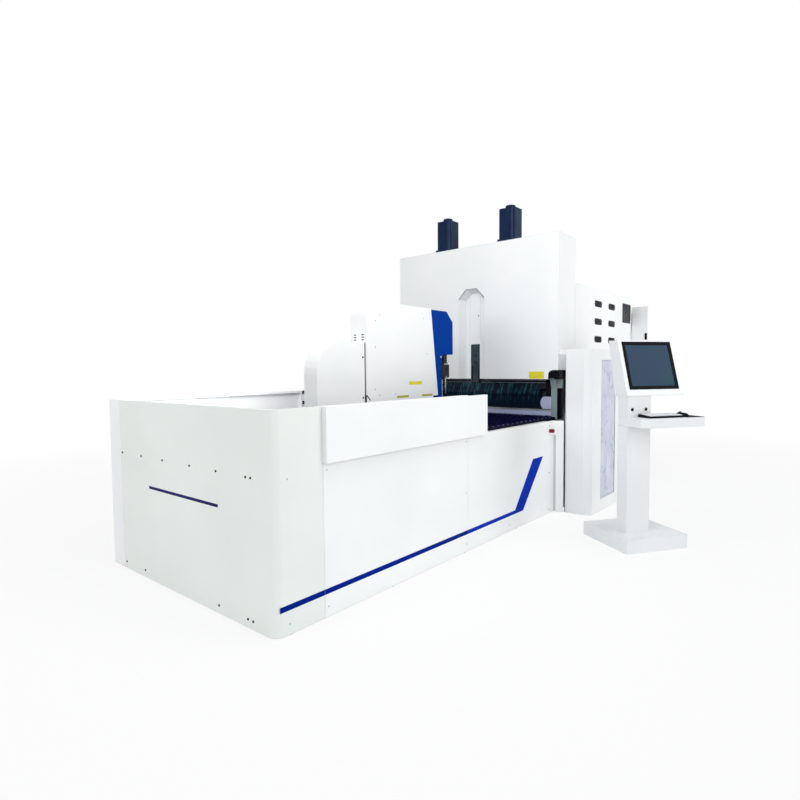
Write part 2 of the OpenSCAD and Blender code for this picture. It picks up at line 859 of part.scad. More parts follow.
module tool_clamp_strip() {
    end_x = tool_count * tool_pitch / 2;
    color([0.70, 0.72, 0.78]) {
        difference() {
            block([-beam_half_w, -beam_front - 2, clamp_z], [beam_half_w, 45, beam_z]);
            // Groove along the front
            block([-beam_half_w - 1, -beam_front - 3, clamp_z + 15],
                  [beam_half_w + 1, -beam_front + 2, clamp_z + 21]);
        }
        both_sides() block([end_x + 1, -beam_front - 2, 1140], [beam_half_w, 20, clamp_z + eps]);
    }
}

// Side outline of one tool segment: shank, swelling neck and a slender tip
module tool_outline() {
    tip_z = sheet_z + tool_gap;
    difference() {
        polygon(concat(
            [[-16, clamp_z], [14, clamp_z], [14, tip_z + 12], [10, tip_z], [2, tip_z], [-6, tip_z + 18]],
            arc([-2, 1095], 34, 235, 150, 7),
            [[-20, 1140]]));
        translate([-52, tip_z + 40]) circle(44);
    }
}

module blankholder_tools() {
    color(navy)
    for (i = [0:tool_count - 1]) {
        x = (i - tool_count / 2) * tool_pitch;
        along_x(x + 0.5, x + tool_pitch - 0.5) tool_outline();
    }
}

module centre_rod() {
    y0 = -niche_back + sheet + 1.5;
    y1 = -beam_front - touch;
    color([0.35, 0.40, 0.46]) {
        difference() {
            union() {
                block([-centre_slot_half_w + 2, y0, 1373], [centre_slot_half_w - 2, y1, 1590]);
                block([-36, y0, clamp_z + 4], [36, y1 - 2, 1373 + eps]);
            }
            for (z = [1406, 1475])
                translate([0, y0 - eps, z]) rotate([-90, 0, 0]) cylinder(r = 13, h = 6);
        }
        // Two socket screws, sunk into the head
        for (z = [1406, 1475])
            translate([0, y0 + 6, z]) rotate([90, 0, 0]) difference() {
                translate([0, 0, -eps]) cylinder(r = 10, h = 5.5);
                translate([0, 0, 2]) cylinder(r = 5, h = 5, $fn = 6);
            }
    }
}

module lift_screw(x) {
    color(steel)
    translate([x, 10, 1640]) cylinder(r = lift_screw_r, h = press_h - 1640 - 1);
}

module lift_screw_left() lift_screw(-motor_x);
module lift_screw_right() lift_screw(motor_x);

// -------------------------------------------------------- bending mechanism

module bend_carriage() {
    side_x = bend_half_w + touch;
    color([0.40, 0.44, 0.50]) {
        both_sides() block([side_x, 210, 370 + touch], [frame_inner - touch, 800, 1150]);
        block([-side_x - eps, 500, 420], [side_x + eps, 700, 620]);
    }
}

module bend_frame() {
    color([0.25, 0.32, 0.42])
    along_x(-bend_half_w, bend_half_w) polygon([
        [blade_y + 6, sheet_z + blade_gap + 50], [blade_y + 6, 1110], [90, 1160], [330, 1160],
        [330, 520], [190, 520], [110, 740], [blade_y + 6, 790],
        [blade_y + 6, sheet_z - blade_gap - 50], [120, sheet_z - blade_gap - 50], [150, 870], [150, 1030],
        [120, sheet_z + blade_gap + 50]]);
}

module bend_blades() {
    color(steel)
    for (side = [1, -1])
        translate([0, 0, sheet_z]) mirror([0, 0, side > 0 ? 0 : 1])
            along_x(-bend_half_w + 20, bend_half_w - 20) polygon([
                [blade_y, blade_gap + 4], [blade_y + 4, blade_gap], [blade_y + 14, blade_gap],
                [blade_y + 40, blade_gap + 26], [blade_y + 40, blade_gap + 50], [blade_y, blade_gap + 50]]);
}

// ------------------------------------------------ rear enclosure and cabinet

module rear_enclosure() {
    left = -press_half_w - 1;
    right = press_half_w - 2;
    color(white_paint) {
        // Left wall
        block([left, hood_depth + gap, panel_floor_gap],
              [left + sheet, rear_end - sheet - weld, rear_h - sheet - weld]);
        // Roof, with a lip under the hood's rear wall
        block([left, hood_depth + gap, rear_h - sheet], [right - weld, rear_end - sheet - weld, rear_h]);
        block([left + 6, hood_depth - sheet, rear_h - sheet], [right - 6, hood_depth + gap + eps, rear_h]);
        // Corner angles
        for (x = [left + sheet + weld, right - 40])
            block([x, rear_end - 9, panel_floor_gap],
                  [x + 40 - weld, rear_end - sheet - weld, rear_h - sheet - weld]);
        difference() {
            block([left, rear_end - sheet, panel_floor_gap], [right - weld, rear_end, rear_h]);
            block([rear_door_x + 15, rear_end - 20, 165],
                  [rear_door_x + rear_door_w - 15, rear_end + 1, 1935]);
        }
        for (z = hinge_zs) hinge_halves(z);
    }
}

// Pin and two outer knuckles of a rear door hinge, on a leaf that the rear wall carries
module hinge_halves(z) {
    translate([rear_door_x + hinge_x, rear_end + hinge_y, z]) {
        translate([0, 0, -hinge_l]) cylinder(r = hinge_pin_r, h = 3 * hinge_l);
        for (end = [-hinge_l, hinge_l + touch]) {
            translate([0, 0, end]) cylinder(r = hinge_r, h = hinge_l - touch);
            translate([-hinge_r, -hinge_y, end]) cube([hinge_r, hinge_y, hinge_l - touch]);
        }
    }
}

hinge_zs = [350, 1050, 1750];
hinge_x = -7;
hinge_y = 10;
hinge_l = 40;
hinge_r = 7;
hinge_pin_r = 3;
rear_door_x = -press_half_w + 60;

module rear_side_right() {
    color(white_paint)
    difference() {
        block([press_half_w - 2, hood_depth + gap, panel_floor_gap], [press_half_w + 1, rear_end, rear_h]);
        vent_places() along_x(-5, 5) round_rect([-vent_l / 2, -vent_h / 2], [vent_l / 2, vent_h / 2], 18);
        louvre_place() along_x(-5, 5)
            round_rect([-louvre_l / 2, -louvre_h / 2], [louvre_l / 2, louvre_h / 2], 8);
    }
}

louvre_l = 280;
louvre_h = 214;

// Runs the children at each small vent of the right side panel
module vent_places() {
    for (y = [868, 1275], z = [1640, 1826, 2012]) translate([press_half_w - 0.5, y, z]) children();
}

module louvre_place() {
    translate([press_half_w - 0.5, 1776, 1975]) children();
}

// A framed insert with slats, seated behind an opening of the side panel
module grille(l, h, r, slats) {
    difference() {
        along_x(-5.5, -1.5) round_rect([-l / 2 - 8, -h / 2 - 8], [l / 2 + 8, h / 2 + 8], r);
        pitch = (h - 6) / slats;
        for (i = [0:slats - 1])
            translate([0, 0, -h / 2 + 3 + (i + 0.5) * pitch])
                block([-7, -l / 2 + 6, -pitch * 0.3], [0, l / 2 - 6, pitch * 0.3]);
    }
}

module vent_grilles() {
    color(dark) {
        vent_places() grille(vent_l, vent_h, 20, 5);
        louvre_place() grille(louvre_l, louvre_h, 10, 14);
    }
}

module rear_door() {
    color(white_paint)
    translate([rear_door_x, rear_end, 0]) difference() {
        union() {
            difference() {
                block([0, touch, 150], [rear_door_w, 20, 1950]);
                block([20, -1, 170], [rear_door_w - 20, 20 - sheet, 1930]);
            }
            // Pull handle on two stands
            for (z = [1000, 1180])
                translate([rear_door_w - 60, 20 - eps, z]) rotate([-90, 0, 0]) cylinder(r = 8, h = 32);
            translate([rear_door_w - 60, 50, 985]) cylinder(r = 9, h = 210);
            // Hinge knuckles on their leaves
            for (z = hinge_zs) {
                translate([hinge_x, hinge_y, z]) cylinder(r = hinge_r, h = hinge_l);
                block([hinge_x, hinge_y - 3, z], [3, hinge_y + 3, z + hinge_l]);
            }
        }
        for (z = hinge_zs)
            translate([hinge_x, hinge_y, z - 1]) cylinder(r = hinge_pin_r + screw_clear, h = hinge_l + 2);
    }
}

cabinet_x1 = press_half_w + 1;
cabinet_x0 = cabinet_x1 - cabinet_w;
cabinet_y0 = rear_end + touch;
cabinet_y1 = cabinet_y0 + cabinet_d;
hatch_t = 17.7;                        // thickness of the narrow door
hatch_y0 = -9;                         // the open leaf's outer face, measured from its hinge
hatch_hinge_x = cabinet_x1 - hatch_y0;
hatch_hinge_y = cabinet_y0 + 12;
hatch_hinge_r = 5;
hatch_pin_r = 2;
hatch_zs = [400, 1040, 1680];
hatch_x0 = 7;                          // the open leaf's near edge, measured from its hinge
hatch_x1 = hatch_x0 + hatch_w;
handle_x = hatch_x1 - 24;
handle_z = 1706;
handle_r = 7;
gland_x = cabinet_x0 + 120;
gland_z = 220;
gland_r = 25;

module cabinet_shell() {
    w = 4;
    color(white_paint)
    difference() {
        union() {
            block([cabinet_x0, cabinet_y0, 60], [cabinet_x1, cabinet_y1, cabinet_h]);
            // Plinth, set back from the cabinet's faces
            block([cabinet_x0 + 15, cabinet_y0 + 15, 0], [cabinet_x1 - 15, cabinet_y1 - 15, 60 + eps]);
            for (z = hatch_zs) hatch_hinge(z);
        }
        block([cabinet_x0 + w, cabinet_y0 + w, 60 + w], [cabinet_x1 - w, cabinet_y1 - w, cabinet_h - w]);
        block([cabinet_x0 + 60, cabinet_y0 + 60, -1], [cabinet_x1 - 60, cabinet_y1 - 60, 60]);
        // Doorway of the narrow door in the right side
        block([cabinet_x1 - w - 1, hatch_hinge_y + hatch_x0 + 13, 160],
              [cabinet_x1 + 1, hatch_hinge_y + hatch_x1 - 10, 2000]);
        // Cut-out behind the gland plate
        block([gland_x - 60, cabinet_y1 - w - 1, gland_z - 40],
              [gland_x + 60, cabinet_y1 + 1, gland_z + 40]);
    }
    // Gland plate with the cable entry, set into the rear wall
    color(white_paint)
    difference() {
        block([gland_x - 60 + weld, cabinet_y1 - w, gland_z - 40 + weld],
              [gland_x + 60 - weld, cabinet_y1, gland_z + 40 - weld]);
        translate([gland_x, cabinet_y1 + 1, gland_z]) rotate([90, 0, 0]) cylinder(r = gland_r, h = w + 2);
    }
    // Mounting plate with rows of devices
    color(steel) {
        block([cabinet_x0 + w + weld, cabinet_y1 - 40, 200],
              [cabinet_x1 - w - weld, cabinet_y1 - 36, 1900]);
        for (z = [500, 800, 1100, 1400, 1700])
            block([cabinet_x0 + 60, cabinet_y1 - 110, z],
                  [cabinet_x1 - 160, cabinet_y1 - 40 - weld, z + 90]);
    }
}

// Pin and two outer knuckles of a narrow door hinge, on a leaf from the cabinet's side
module hatch_hinge(z) {
    reach = hatch_hinge_x - cabinet_x1 + eps;
    translate([hatch_hinge_x, hatch_hinge_y, z]) {
        translate([0, 0, -hinge_l]) cylinder(r = hatch_pin_r, h = 3 * hinge_l);
        for (end = [-hinge_l, hinge_l + touch]) {
            translate([0, 0, end]) cylinder(r = hatch_hinge_r, h = hinge_l - touch);
            translate([-reach, -3, end]) cube([reach, 6, hinge_l - touch]);
        }
    }
}

// The narrow door's frame: at the hinge, the open leaf reaches out along +X
module at_hatch() {
    translate([hatch_hinge_x, hatch_hinge_y, 0]) children();
}

module cabinet_door() {
    z0 = 100;
    z1 = cabinet_h - 2;
    color(white_paint)
    at_hatch() difference() {
        union() {
            block([hatch_x0, hatch_y0, z0], [hatch_x1, hatch_y0 + hatch_t, z1]);
            for (z = hatch_zs) {
                translate([0, 0, z]) cylinder(r = hatch_hinge_r, h = hinge_l);
                block([0, -3, z], [hatch_x0 + 1, 3, z + hinge_l]);
            }
        }
        block([hatch_x0 + sheet, hatch_y0 + sheet, z0 + sheet],
              [hatch_x1 - sheet, hatch_y0 + hatch_t + 1, z1 - sheet]);
        for (z = hatch_zs)
            translate([0, 0, z - 1]) cylinder(r = hatch_pin_r + screw_clear, h = hinge_l + 2);
        translate([handle_x, 0, handle_z]) rotate([90, 0, 0]) cylinder(r = handle_r + screw_clear, h = 20);
    }
}

module cabinet_handle() {
    color(dark)
    at_hatch() translate([handle_x, 0, handle_z]) {
        rotate([90, 0, 0]) cylinder(r = handle_r, h = 12);
        block([-4, hatch_y0 - 11, -38], [19, hatch_y0 - touch, 38]);
        translate([0, hatch_y0 + sheet + touch, 0]) rotate([-90, 0, 0]) cylinder(r = 12, h = 4);
    }
}

// --------------------------------------------------------------------- guard

module guard_plan(t) {
    x1 = guard_x + guard_w;
    x2 = guard_side;
    y0 = -press_face - 2;
    polygon([[guard_x, y0 + 30], [guard_x, y0], [x1, y0], [x2, y0 + 30], [x2, y0 + guard_d],
             [x2 - 30, y0 + guard_d], [x2 - 30, y0 + guard_d - t], [x2 - t, y0 + guard_d - t],
             [x2 - t, y0 + 30 + t], [x1, y0 + t], [guard_x + t, y0 + t], [guard_x + t, y0 + 30]]);
}

guard_side = guard_x + guard_w + guard_fold;
window_y = 115;
window_z0 = 114;
window_z1 = 1411;

module guard_box() {
    color(white_paint)
    difference() {
        union() {
            linear_extrude(guard_h) guard_plan(4);
            // Flange round the top
            translate([0, 0, guard_h - 4]) linear_extrude(4) guard_plan(30);
            // Bridge to the press and tie bars to the machine's side
            block([press_half_w + touch, -press_face + 20, 1465], [guard_x + 4, -press_face + 24, guard_h]);
            for (z = [140, 1440])
                block([press_half_w + 1 + touch, 560, z], [guard_side - 4 + eps, 600, z + 40]);
        }
        block([guard_side - 5, window_y, window_z0], [guard_side + 1, window_y + window_l, window_z1]);
    }
}

module guard_window() {
    color([0.80, 0.82, 0.90])
    block([guard_side - 9, window_y - 15, window_z0 - 15],
          [guard_side - 4 - weld, window_y + window_l + 15, window_z1 + 15]);
}

// ------------------------------------------------------------------- console

// Console's own frame: +X along its front to the right, -Y out of its front
module at_console() {
    translate([console_x, -console_y, 0]) rotate([0, 0, console_turn]) children();
}

post_x0 = -150;
post_y1 = 2;
post_y0 = post_y1 - post_d;
tray_x0 = post_x0 - 3;
tray_y0 = -284;
housing_x0 = post_x0 - 6;
housing_lean = atan2(126, monitor_top - monitor_z);

module console_base() {
    h = console_base_h;
    color(white_paint)
    at_console() difference() {
        translate([-console_base_w / 2, -console_base_w / 2, 0]) cube([console_base_w, console_base_w, h]);
        translate([-console_base_w / 2 + sheet, -console_base_w / 2 + sheet, -1])
            cube([console_base_w - 2 * sheet, console_base_w - 2 * sheet, h - sheet + 1]);
    }
}

module console_post() {
    color(white_paint)
    at_console() difference() {
        block([post_x0, post_y0, console_base_h], [post_x0 + post_w, post_y1, monitor_z]);
        block([post_x0 + sheet, post_y0 + sheet, console_base_h - 1],
              [post_x0 + post_w - sheet, post_y1 - sheet, monitor_z - sheet]);
        // Cable holes above the tray
        for (x = [post_x0 + 40, post_x0 + 159])
            translate([x, post_y0 - 1, 1029]) rotate([-90, 0, 0]) cylinder(r = 10, h = sheet + 2);
        // Access cover opening at the rear
        block([post_x0 + 30, post_y1 - sheet - 1, 250], [post_x0 + post_w - 30, post_y1 - 1.5, 850]);
    }
}

// Plan of the tray: its near left corner is cut off, and it reaches back beside the post
module tray_outline() {
    x1 = tray_x0 + tray_w;
    back = post_y0 - 1;
    r = 5;
    polygon(concat([[tray_x0, back + 91], [tray_x0, tray_y0 + 34], [tray_x0 + 62, tray_y0]],
                   arc([x1 - r, tray_y0 + r], r, 270, 360, 4), arc([x1 - r, back - r], r, 0, 90, 4),
                   [[tray_x0 + post_w + 6, back], [tray_x0 + post_w + 6, back + 91]]));
}

module console_tray() {
    color(white_paint)
    at_console() translate([0, 0, tray_z - tray_t]) linear_extrude(tray_t) difference() {
        tray_outline();
        translate([post_x0 - weld, post_y0 - weld]) square([post_w + 2 * weld, 200]);
    }
}

// Side outline of the monitor housing in (y, z)
module monitor_outline(t) {
    polygon([[-109 + t, monitor_z + t], [15 + t, monitor_top - t], [117 - t, monitor_top - t],
             [33 - t, monitor_z + t]]);
}

// Puts the children on the slanted screen plane: X across, Y up the slope, Z out
module on_screen() {
    translate([housing_x0 + monitor_w / 2, -109, monitor_z])
        rotate([90 - housing_lean, 0, 0]) children();
}

bezel_up = (monitor_top - monitor_z) / cos(housing_lean) - 12 - bezel_h;

module monitor_housing() {
    color(white_paint)
    at_console() difference() {
        along_x(housing_x0, housing_x0 + monitor_w) monitor_outline(0);
        along_x(housing_x0 + sheet, housing_x0 + monitor_w - sheet) monitor_outline(sheet);
        on_screen() translate([-bezel_w / 2, bezel_up, -8]) cube([bezel_w, bezel_h, 20]);
        // Vent slots in the rear wall
        for (i = [0:7])
            block([housing_x0 + 120, 0, 1240 + i * 24], [housing_x0 + monitor_w - 120, 130, 1248 + i * 24]);
    }
}

module monitor_bezel() {
    b = bezel_border;
    color(dark)
    at_console() on_screen() difference() {
        translate([-bezel_w / 2 + 0.5, bezel_up + 0.5, -8]) cube([bezel_w - 1, bezel_h - 1, 11]);
        translate([-bezel_w / 2 + b, bezel_up + b, -1]) cube([bezel_w - 2 * b, bezel_h - 2 * b, 20]);
        translate([-bezel_w / 2 + b - 4, bezel_up + b - 4, -5])
            cube([bezel_w - 2 * b + 8, bezel_h - 2 * b + 8, 4.2]);
    }
}

module monitor_screen() {
    b = bezel_border;
    color([0.20, 0.31, 0.37])
    at_console() on_screen()
        translate([-bezel_w / 2 + b - 3.5, bezel_up + b - 3.5, -5])
            cube([bezel_w - 2 * b + 7, bezel_h - 2 * b + 7, 4]);
}

key_x0 = -74;
key_l = 300;
key_y0 = -256;
key_d = 132;

module keyboard_case() {
    color(dark)
    at_console() translate([0, 0, tray_z]) along_x(key_x0, key_x0 + key_l)
        polygon([[key_y0, 0], [key_y0 + key_d, 0], [key_y0 + key_d, 20], [key_y0 + key_d - 6, 22],
                 [key_y0 + 6, 12], [key_y0, 9]]);
}

module keyboard_keys() {
    rise = atan2(10, key_d - 12);
    columns = 18;
    pitch = (key_l - 20) / columns;
    color([0.80, 0.82, 0.84])
    at_console() translate([key_x0, key_y0 + 6, tray_z + 12.3]) rotate([rise, 0, 0]) {
        for (row = [0:4], i = [0:columns - 1]) {
            if (!(row == 0 && i > 3 && i < 10))
                translate([11 + i * pitch, 10 + row * 20, 0]) cube([pitch - 2.5, 17, 5]);
        }
        // Space bar
        translate([11 + 4 * pitch, 10, 0]) cube([6 * pitch - 2.5, 17, 5]);
    }
}

module mouse() {
    color(dark)
    at_console() translate([262, -190, tray_z]) intersection() {
        hull() {
            translate([0, -28, 0]) sphere(r = 28, $fn = 32);
            translate([0, 26, 2]) sphere(r = 30, $fn = 32);
        }
        block([-60, -80, 0], [60, 80, 60]);
    }
}

base_frame();
levelling_feet();
front_wall();
far_side_wall();
near_side_panel();
press_side_panels();
upper_side_cover();
estop_panel();
estop_base();
estop_button();
table_halves();
brush_strips();
feed_rails();
feed_screw();
feed_motor();
side_frames();
press_crown();
press_front_cover();
press_hood();
lift_motors();
motor_caps();
lower_beam();
counter_blade();
bed_cheeks();
beam_guides();
blankholder_beam();
tool_clamp_strip();
blankholder_tools();
centre_rod();
lift_screw_left();
lift_screw_right();
bend_carriage();
bend_frame();
bend_blades();
carriage_plate();
arm_frame();
arm_cover();
rear_housing();
press_cylinder();
gripper_ram();
gripper_head();
turntable();
rear_enclosure();
rear_side_right();
vent_grilles();
rear_door();
cabinet_shell();
cabinet_door();
cabinet_handle();
guard_box();
guard_window();
console_base();
console_post();
console_tray();
monitor_housing();
monitor_bezel();
monitor_screen();
keyboard_case();
keyboard_keys();
mouse();
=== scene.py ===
"""Looks of a panel bending centre: finishes, trim, fasteners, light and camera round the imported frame."""

import json
import logging
import math
from dataclasses import dataclass
from enum import Enum

import bmesh
import bpy
from mathutils import Matrix, Vector


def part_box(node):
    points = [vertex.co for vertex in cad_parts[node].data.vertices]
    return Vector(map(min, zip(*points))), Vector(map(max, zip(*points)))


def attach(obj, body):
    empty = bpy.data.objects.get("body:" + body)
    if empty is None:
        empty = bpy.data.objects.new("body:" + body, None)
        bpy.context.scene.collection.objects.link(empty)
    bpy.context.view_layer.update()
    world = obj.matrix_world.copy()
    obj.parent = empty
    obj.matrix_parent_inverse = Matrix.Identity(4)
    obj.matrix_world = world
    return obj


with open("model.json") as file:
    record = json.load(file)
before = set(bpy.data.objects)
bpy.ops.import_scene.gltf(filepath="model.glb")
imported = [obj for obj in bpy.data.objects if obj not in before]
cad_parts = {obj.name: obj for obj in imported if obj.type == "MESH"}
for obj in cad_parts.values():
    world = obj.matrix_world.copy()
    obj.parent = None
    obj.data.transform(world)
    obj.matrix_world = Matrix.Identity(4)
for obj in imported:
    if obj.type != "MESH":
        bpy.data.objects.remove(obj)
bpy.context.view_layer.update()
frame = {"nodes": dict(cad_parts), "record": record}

LOG = logging.getLogger("panel_bender")

Pair = tuple[float, float]
Vec = tuple[float, float, float]
Color = tuple[float, float, float]
Tint = str | Color
Piece = bpy.types.Object
Socket = bpy.types.NodeSocket

UNSCALED = (1.0, 1.0, 1.0)
WHITE = (1.0, 1.0, 1.0)
CORNER_STEPS = 6
CORNER_ANGLE = 90 / (CORNER_STEPS - 1)


class Grain(Enum):
    """How a finish's fine pattern is stretched, as scales along X, Y and Z."""

    EVEN = UNSCALED
    ALONG_X = (0.04, 1.0, 1.0)
    ALONG_Z = (1.0, 1.0, 0.04)


class Side(Enum):
    """Which way a fastener's head faces, as Euler angles from +Z."""

    FRONT = (math.radians(90), 0.0, 0.0)
    REAR = (math.radians(-90), 0.0, 0.0)
    RIGHT = (0.0, math.radians(90), 0.0)
    LEFT = (0.0, math.radians(-90), 0.0)
    UP = (0.0, 0.0, 0.0)
    NICHE_WALL = (0.0, math.radians(90), math.radians(208.8))


def linear(tint: Tint) -> Color:
    """Turns a tint into linear colour.

    Args:
        tint: six hex digits of sRGB colour, or linear colour already.

    Returns:
        Linear red, green and blue.
    """
    if isinstance(tint, tuple):
        return tint
    channels = [int(tint[i:i + 2], 16) / 255 for i in (0, 2, 4)]
    red, green, blue = (c / 12.92 if c <= 0.04045 else ((c + 0.055) / 1.055) ** 2.4 for c in channels)
    return (red, green, blue)


def turn(degrees: float, axis: str) -> Matrix:
    """A rotation about the X, Y or Z axis."""
    return Matrix.Rotation(math.radians(degrees), 4, axis)


def rounded(middle: Pair, half: Pair, radius: float) -> list[Pair]:
    """The outline of a rectangle with round corners.

    Args:
        middle: its centre.
        half: half its width and half its height.
        radius: corner radius.

    Returns:
        Its points in order.
    """
    points = []
    for quarter, (right, up) in enumerate(((1, 1), (-1, 1), (-1, -1), (1, -1))):
        for step in range(CORNER_STEPS):
            angle = math.radians(quarter * 90 + step * CORNER_ANGLE)
            points.append((middle[0] + (right * (half[0] - radius) + radius * math.cos(angle)),
                           middle[1] + (up * (half[1] - radius) + radius * math.sin(angle))))
    return points


class NodeTree:
    """A node tree with short calls for the nodes in it."""

    def __init__(self, tree: bpy.types.NodeTree) -> None:
        """Keeps the tree to work on."""
        self.tree = tree

    def feed(self, socket: Socket, value: object) -> None:
        """Joins an input to an output or gives it a plain value.

        Args:
            socket: the input.
            value: an output, a number, a vector, a colour or a material.
        """
        if isinstance(value, Socket):
            self.tree.links.new(value, socket)
        elif socket.type == "RGBA":
            socket.default_value = (*value, 1.0)
        else:
            socket.default_value = value

    def add(self, kind: str, inputs: dict[str | int, object] | None = None,
            **settings: object) -> bpy.types.Node:
        """Adds a node, sets its properties and feeds its inputs.

        Args:
            kind: the node's type name.
            inputs: what goes into each input, by name or number.
            settings: property names and values.

        Returns:
            The new node.
        """
        node = self.tree.nodes.new(kind)
        for key, value in settings.items():
            setattr(node, key, value)
        for key, value in (inputs or {}).items():
            self.feed(node.inputs[key], value)
        return node

    def math(self, operation: str, *values: float | Socket) -> Socket:
        """The result of a Math node on numbers and outputs."""
        return self.add("ShaderNodeMath", dict(enumerate(values)), operation=operation).outputs[0]


class Shader(NodeTree):
    """A material's node tree with the patterns that the finishes share."""

    def __init__(self, name: str) -> None:
        """Starts an empty tree with its object coordinates.

        Args:
            name: the material's name.
        """
        self.material = bpy.data.materials.new(name)
        self.material.use_nodes = True
        super().__init__(self.material.node_tree)
        self.tree.nodes.clear()
        self.coordinates = self.add("ShaderNodeTexCoord").outputs["Object"]

    def finish(self, surface: Socket) -> bpy.types.Material:
        """Ends the tree with the shader to show and gives the material."""
        self.add("ShaderNodeOutputMaterial", {"Surface": surface})
        return self.material

    def stretched(self, scales: Vec) -> Socket:
        """Object coordinates scaled along each axis.

        Args:
            scales: factors along X, Y and Z.

        Returns:
            The scaled coordinates.
        """
        if scales == UNSCALED:
            return self.coordinates
        return self.add("ShaderNodeMapping", {"Vector": self.coordinates, "Scale": scales}).outputs["Vector"]

    def noise(self, scale: float, detail: float = 3.0, scales: Vec = UNSCALED) -> Socket:
        """A noise factor round 0.5, from cells per metre, octaves of detail and stretch on each axis."""
        inputs = {"Vector": self.stretched(scales), "Scale": scale, "Detail": detail}
        return self.add("ShaderNodeTexNoise", inputs).outputs["Fac"]

    def spread(self, factor: Socket, low: float, high: float, start: float = 0.3, end: float = 0.7) -> Socket:
        """Maps a factor from the range start to end to the range low to high."""
        inputs = {"Value": factor, "From Min": start, "From Max": end, "To Min": low, "To Max": high}
        return self.add("ShaderNodeMapRange", inputs).outputs["Result"]

    def blend(self, factor: Socket, first: Color | Socket, second: Color | Socket) -> Socket:
        """Mixes two colours by a factor, 0 for the first and 1 for the second."""
        return self.add("ShaderNodeMix", {"Factor": factor, 6: first, 7: second}, data_type="RGBA").outputs[2]

    def bump(self, height: Socket, depth: float, strength: float, fold: float = 0.0) -> Socket:
        """Turns a height into a normal, over edges that may be rounded as on folded sheet.

        Args:
            height: the height pattern.
            depth: its depth in metres.
            strength: from 0 to 1.
            fold: the fold's outside radius in metres, 0 for sharp edges.

        Returns:
            The bumped normal.
        """
        inputs = {"Height": height, "Distance": depth, "Strength": strength}
        if fold > 0:
            inputs["Normal"] = self.add("ShaderNodeBevel", {"Radius": fold}, samples=4).outputs["Normal"]
        return self.add("ShaderNodeBump", inputs).outputs["Normal"]


@dataclass(frozen=True)
class Finish:
    """One surface finish: colours, gloss and the relief of its grain.

    Args:
        name: the material's name.
        color: base colour.
        accent: the colour that the base drifts to in soft patches.
        rough: lowest and highest roughness.
        metallic: 0 for paint and plastic, 1 for bare metal.
        grain: direction of the fine pattern.
        fine: cells per metre of the fine pattern.
        relief: depth of the fine pattern in metres.
        strength: how strongly the relief shows.
        patch: cells per metre of the soft colour patches.
        speck: share of fine colour specks, 0 to 1.
        coat: weight of a clear coat.
        specular: how strongly the surface mirrors light, 0.5 for common paint.
        fold: radius that sharp edges are softened to, in metres.
        cell: length along X after which a new piece of the row gets its own painted glint of the accent
            colour, 0 for none.
        slant: how far the borders of those painted glints lean, as a share of their height.
        rise: heights between which those painted glints come up, both 0 for all the way.
    """

    name: str
    color: Tint
    accent: Tint
    rough: Pair = (0.35, 0.5)
    metallic: float = 0.0
    grain: Grain = Grain.EVEN
    fine: float = 500.0
    relief: float = 0.0004
    strength: float = 0.25
    patch: float = 1.6
    speck: float = 0.15
    coat: float = 0.0
    specular: float = 0.5
    fold: float = 0.002
    cell: float = 0.0
    slant: float = 0.0
    rise: Pair = (0.0, 0.0)

    def build(self) -> bpy.types.Material:
        """Makes the material.

        Returns:
            The new material.
        """
        shader = Shader(self.name)
        color, accent = linear(self.color), linear(self.accent)
        fine = shader.noise(self.fine, 4.0, self.grain.value)
        if self.cell > 0:
            patches = self.row_glints(shader)
        else:
            patches = shader.spread(shader.noise(self.patch, 4.0), 0.0, 1.0)
        specks = shader.spread(fine, 0.0, self.speck, 0.45, 0.75)
        wear = shader.noise(self.patch * 7.0, 6.0, self.grain.value)
        surface = shader.add("ShaderNodeBsdfPrincipled", {
            "Base Color": shader.blend(specks, shader.blend(patches, color, accent), accent),
            "Metallic": self.metallic, "Roughness": shader.spread(wear, *self.rough),
            "Specular IOR Level": self.specular, "Coat Weight": self.coat, "Coat Roughness": 0.08,
            "Normal": shader.bump(fine, self.relief, self.strength, self.fold)})
        return shader.finish(surface.outputs[0])

    def row_glints(self, shader: Shader) -> Socket:
        """A painted glint of its own for each piece of a row along X.

        Args:
            shader: the material's tree.

        Returns:
            The share of the accent colour, which is painted highlight broken along Z.
        """
        axes = shader.add("ShaderNodeSeparateXYZ", {0: shader.coordinates}).outputs
        place = shader.math("MULTIPLY_ADD", axes["Z"], self.slant, axes["X"])
        whole = shader.math("FLOOR", shader.math("DIVIDE", place, self.cell))
        chance = shader.add("ShaderNodeTexWhiteNoise", {"W": whole}, noise_dimensions="1D").outputs["Value"]
        glint_breaks = shader.spread(shader.noise(30.0, 3.0, (1.0, 1.0, 0.5)), 0.1, 1.0, 0.4, 0.6)
        share = shader.math("MULTIPLY", shader.math("POWER", chance, 3.0), glint_breaks)
        if self.rise[1] <= self.rise[0]:
            return share
        return shader.math("MULTIPLY", share, shader.spread(axes["Z"], 0.08, 1.0, *self.rise))


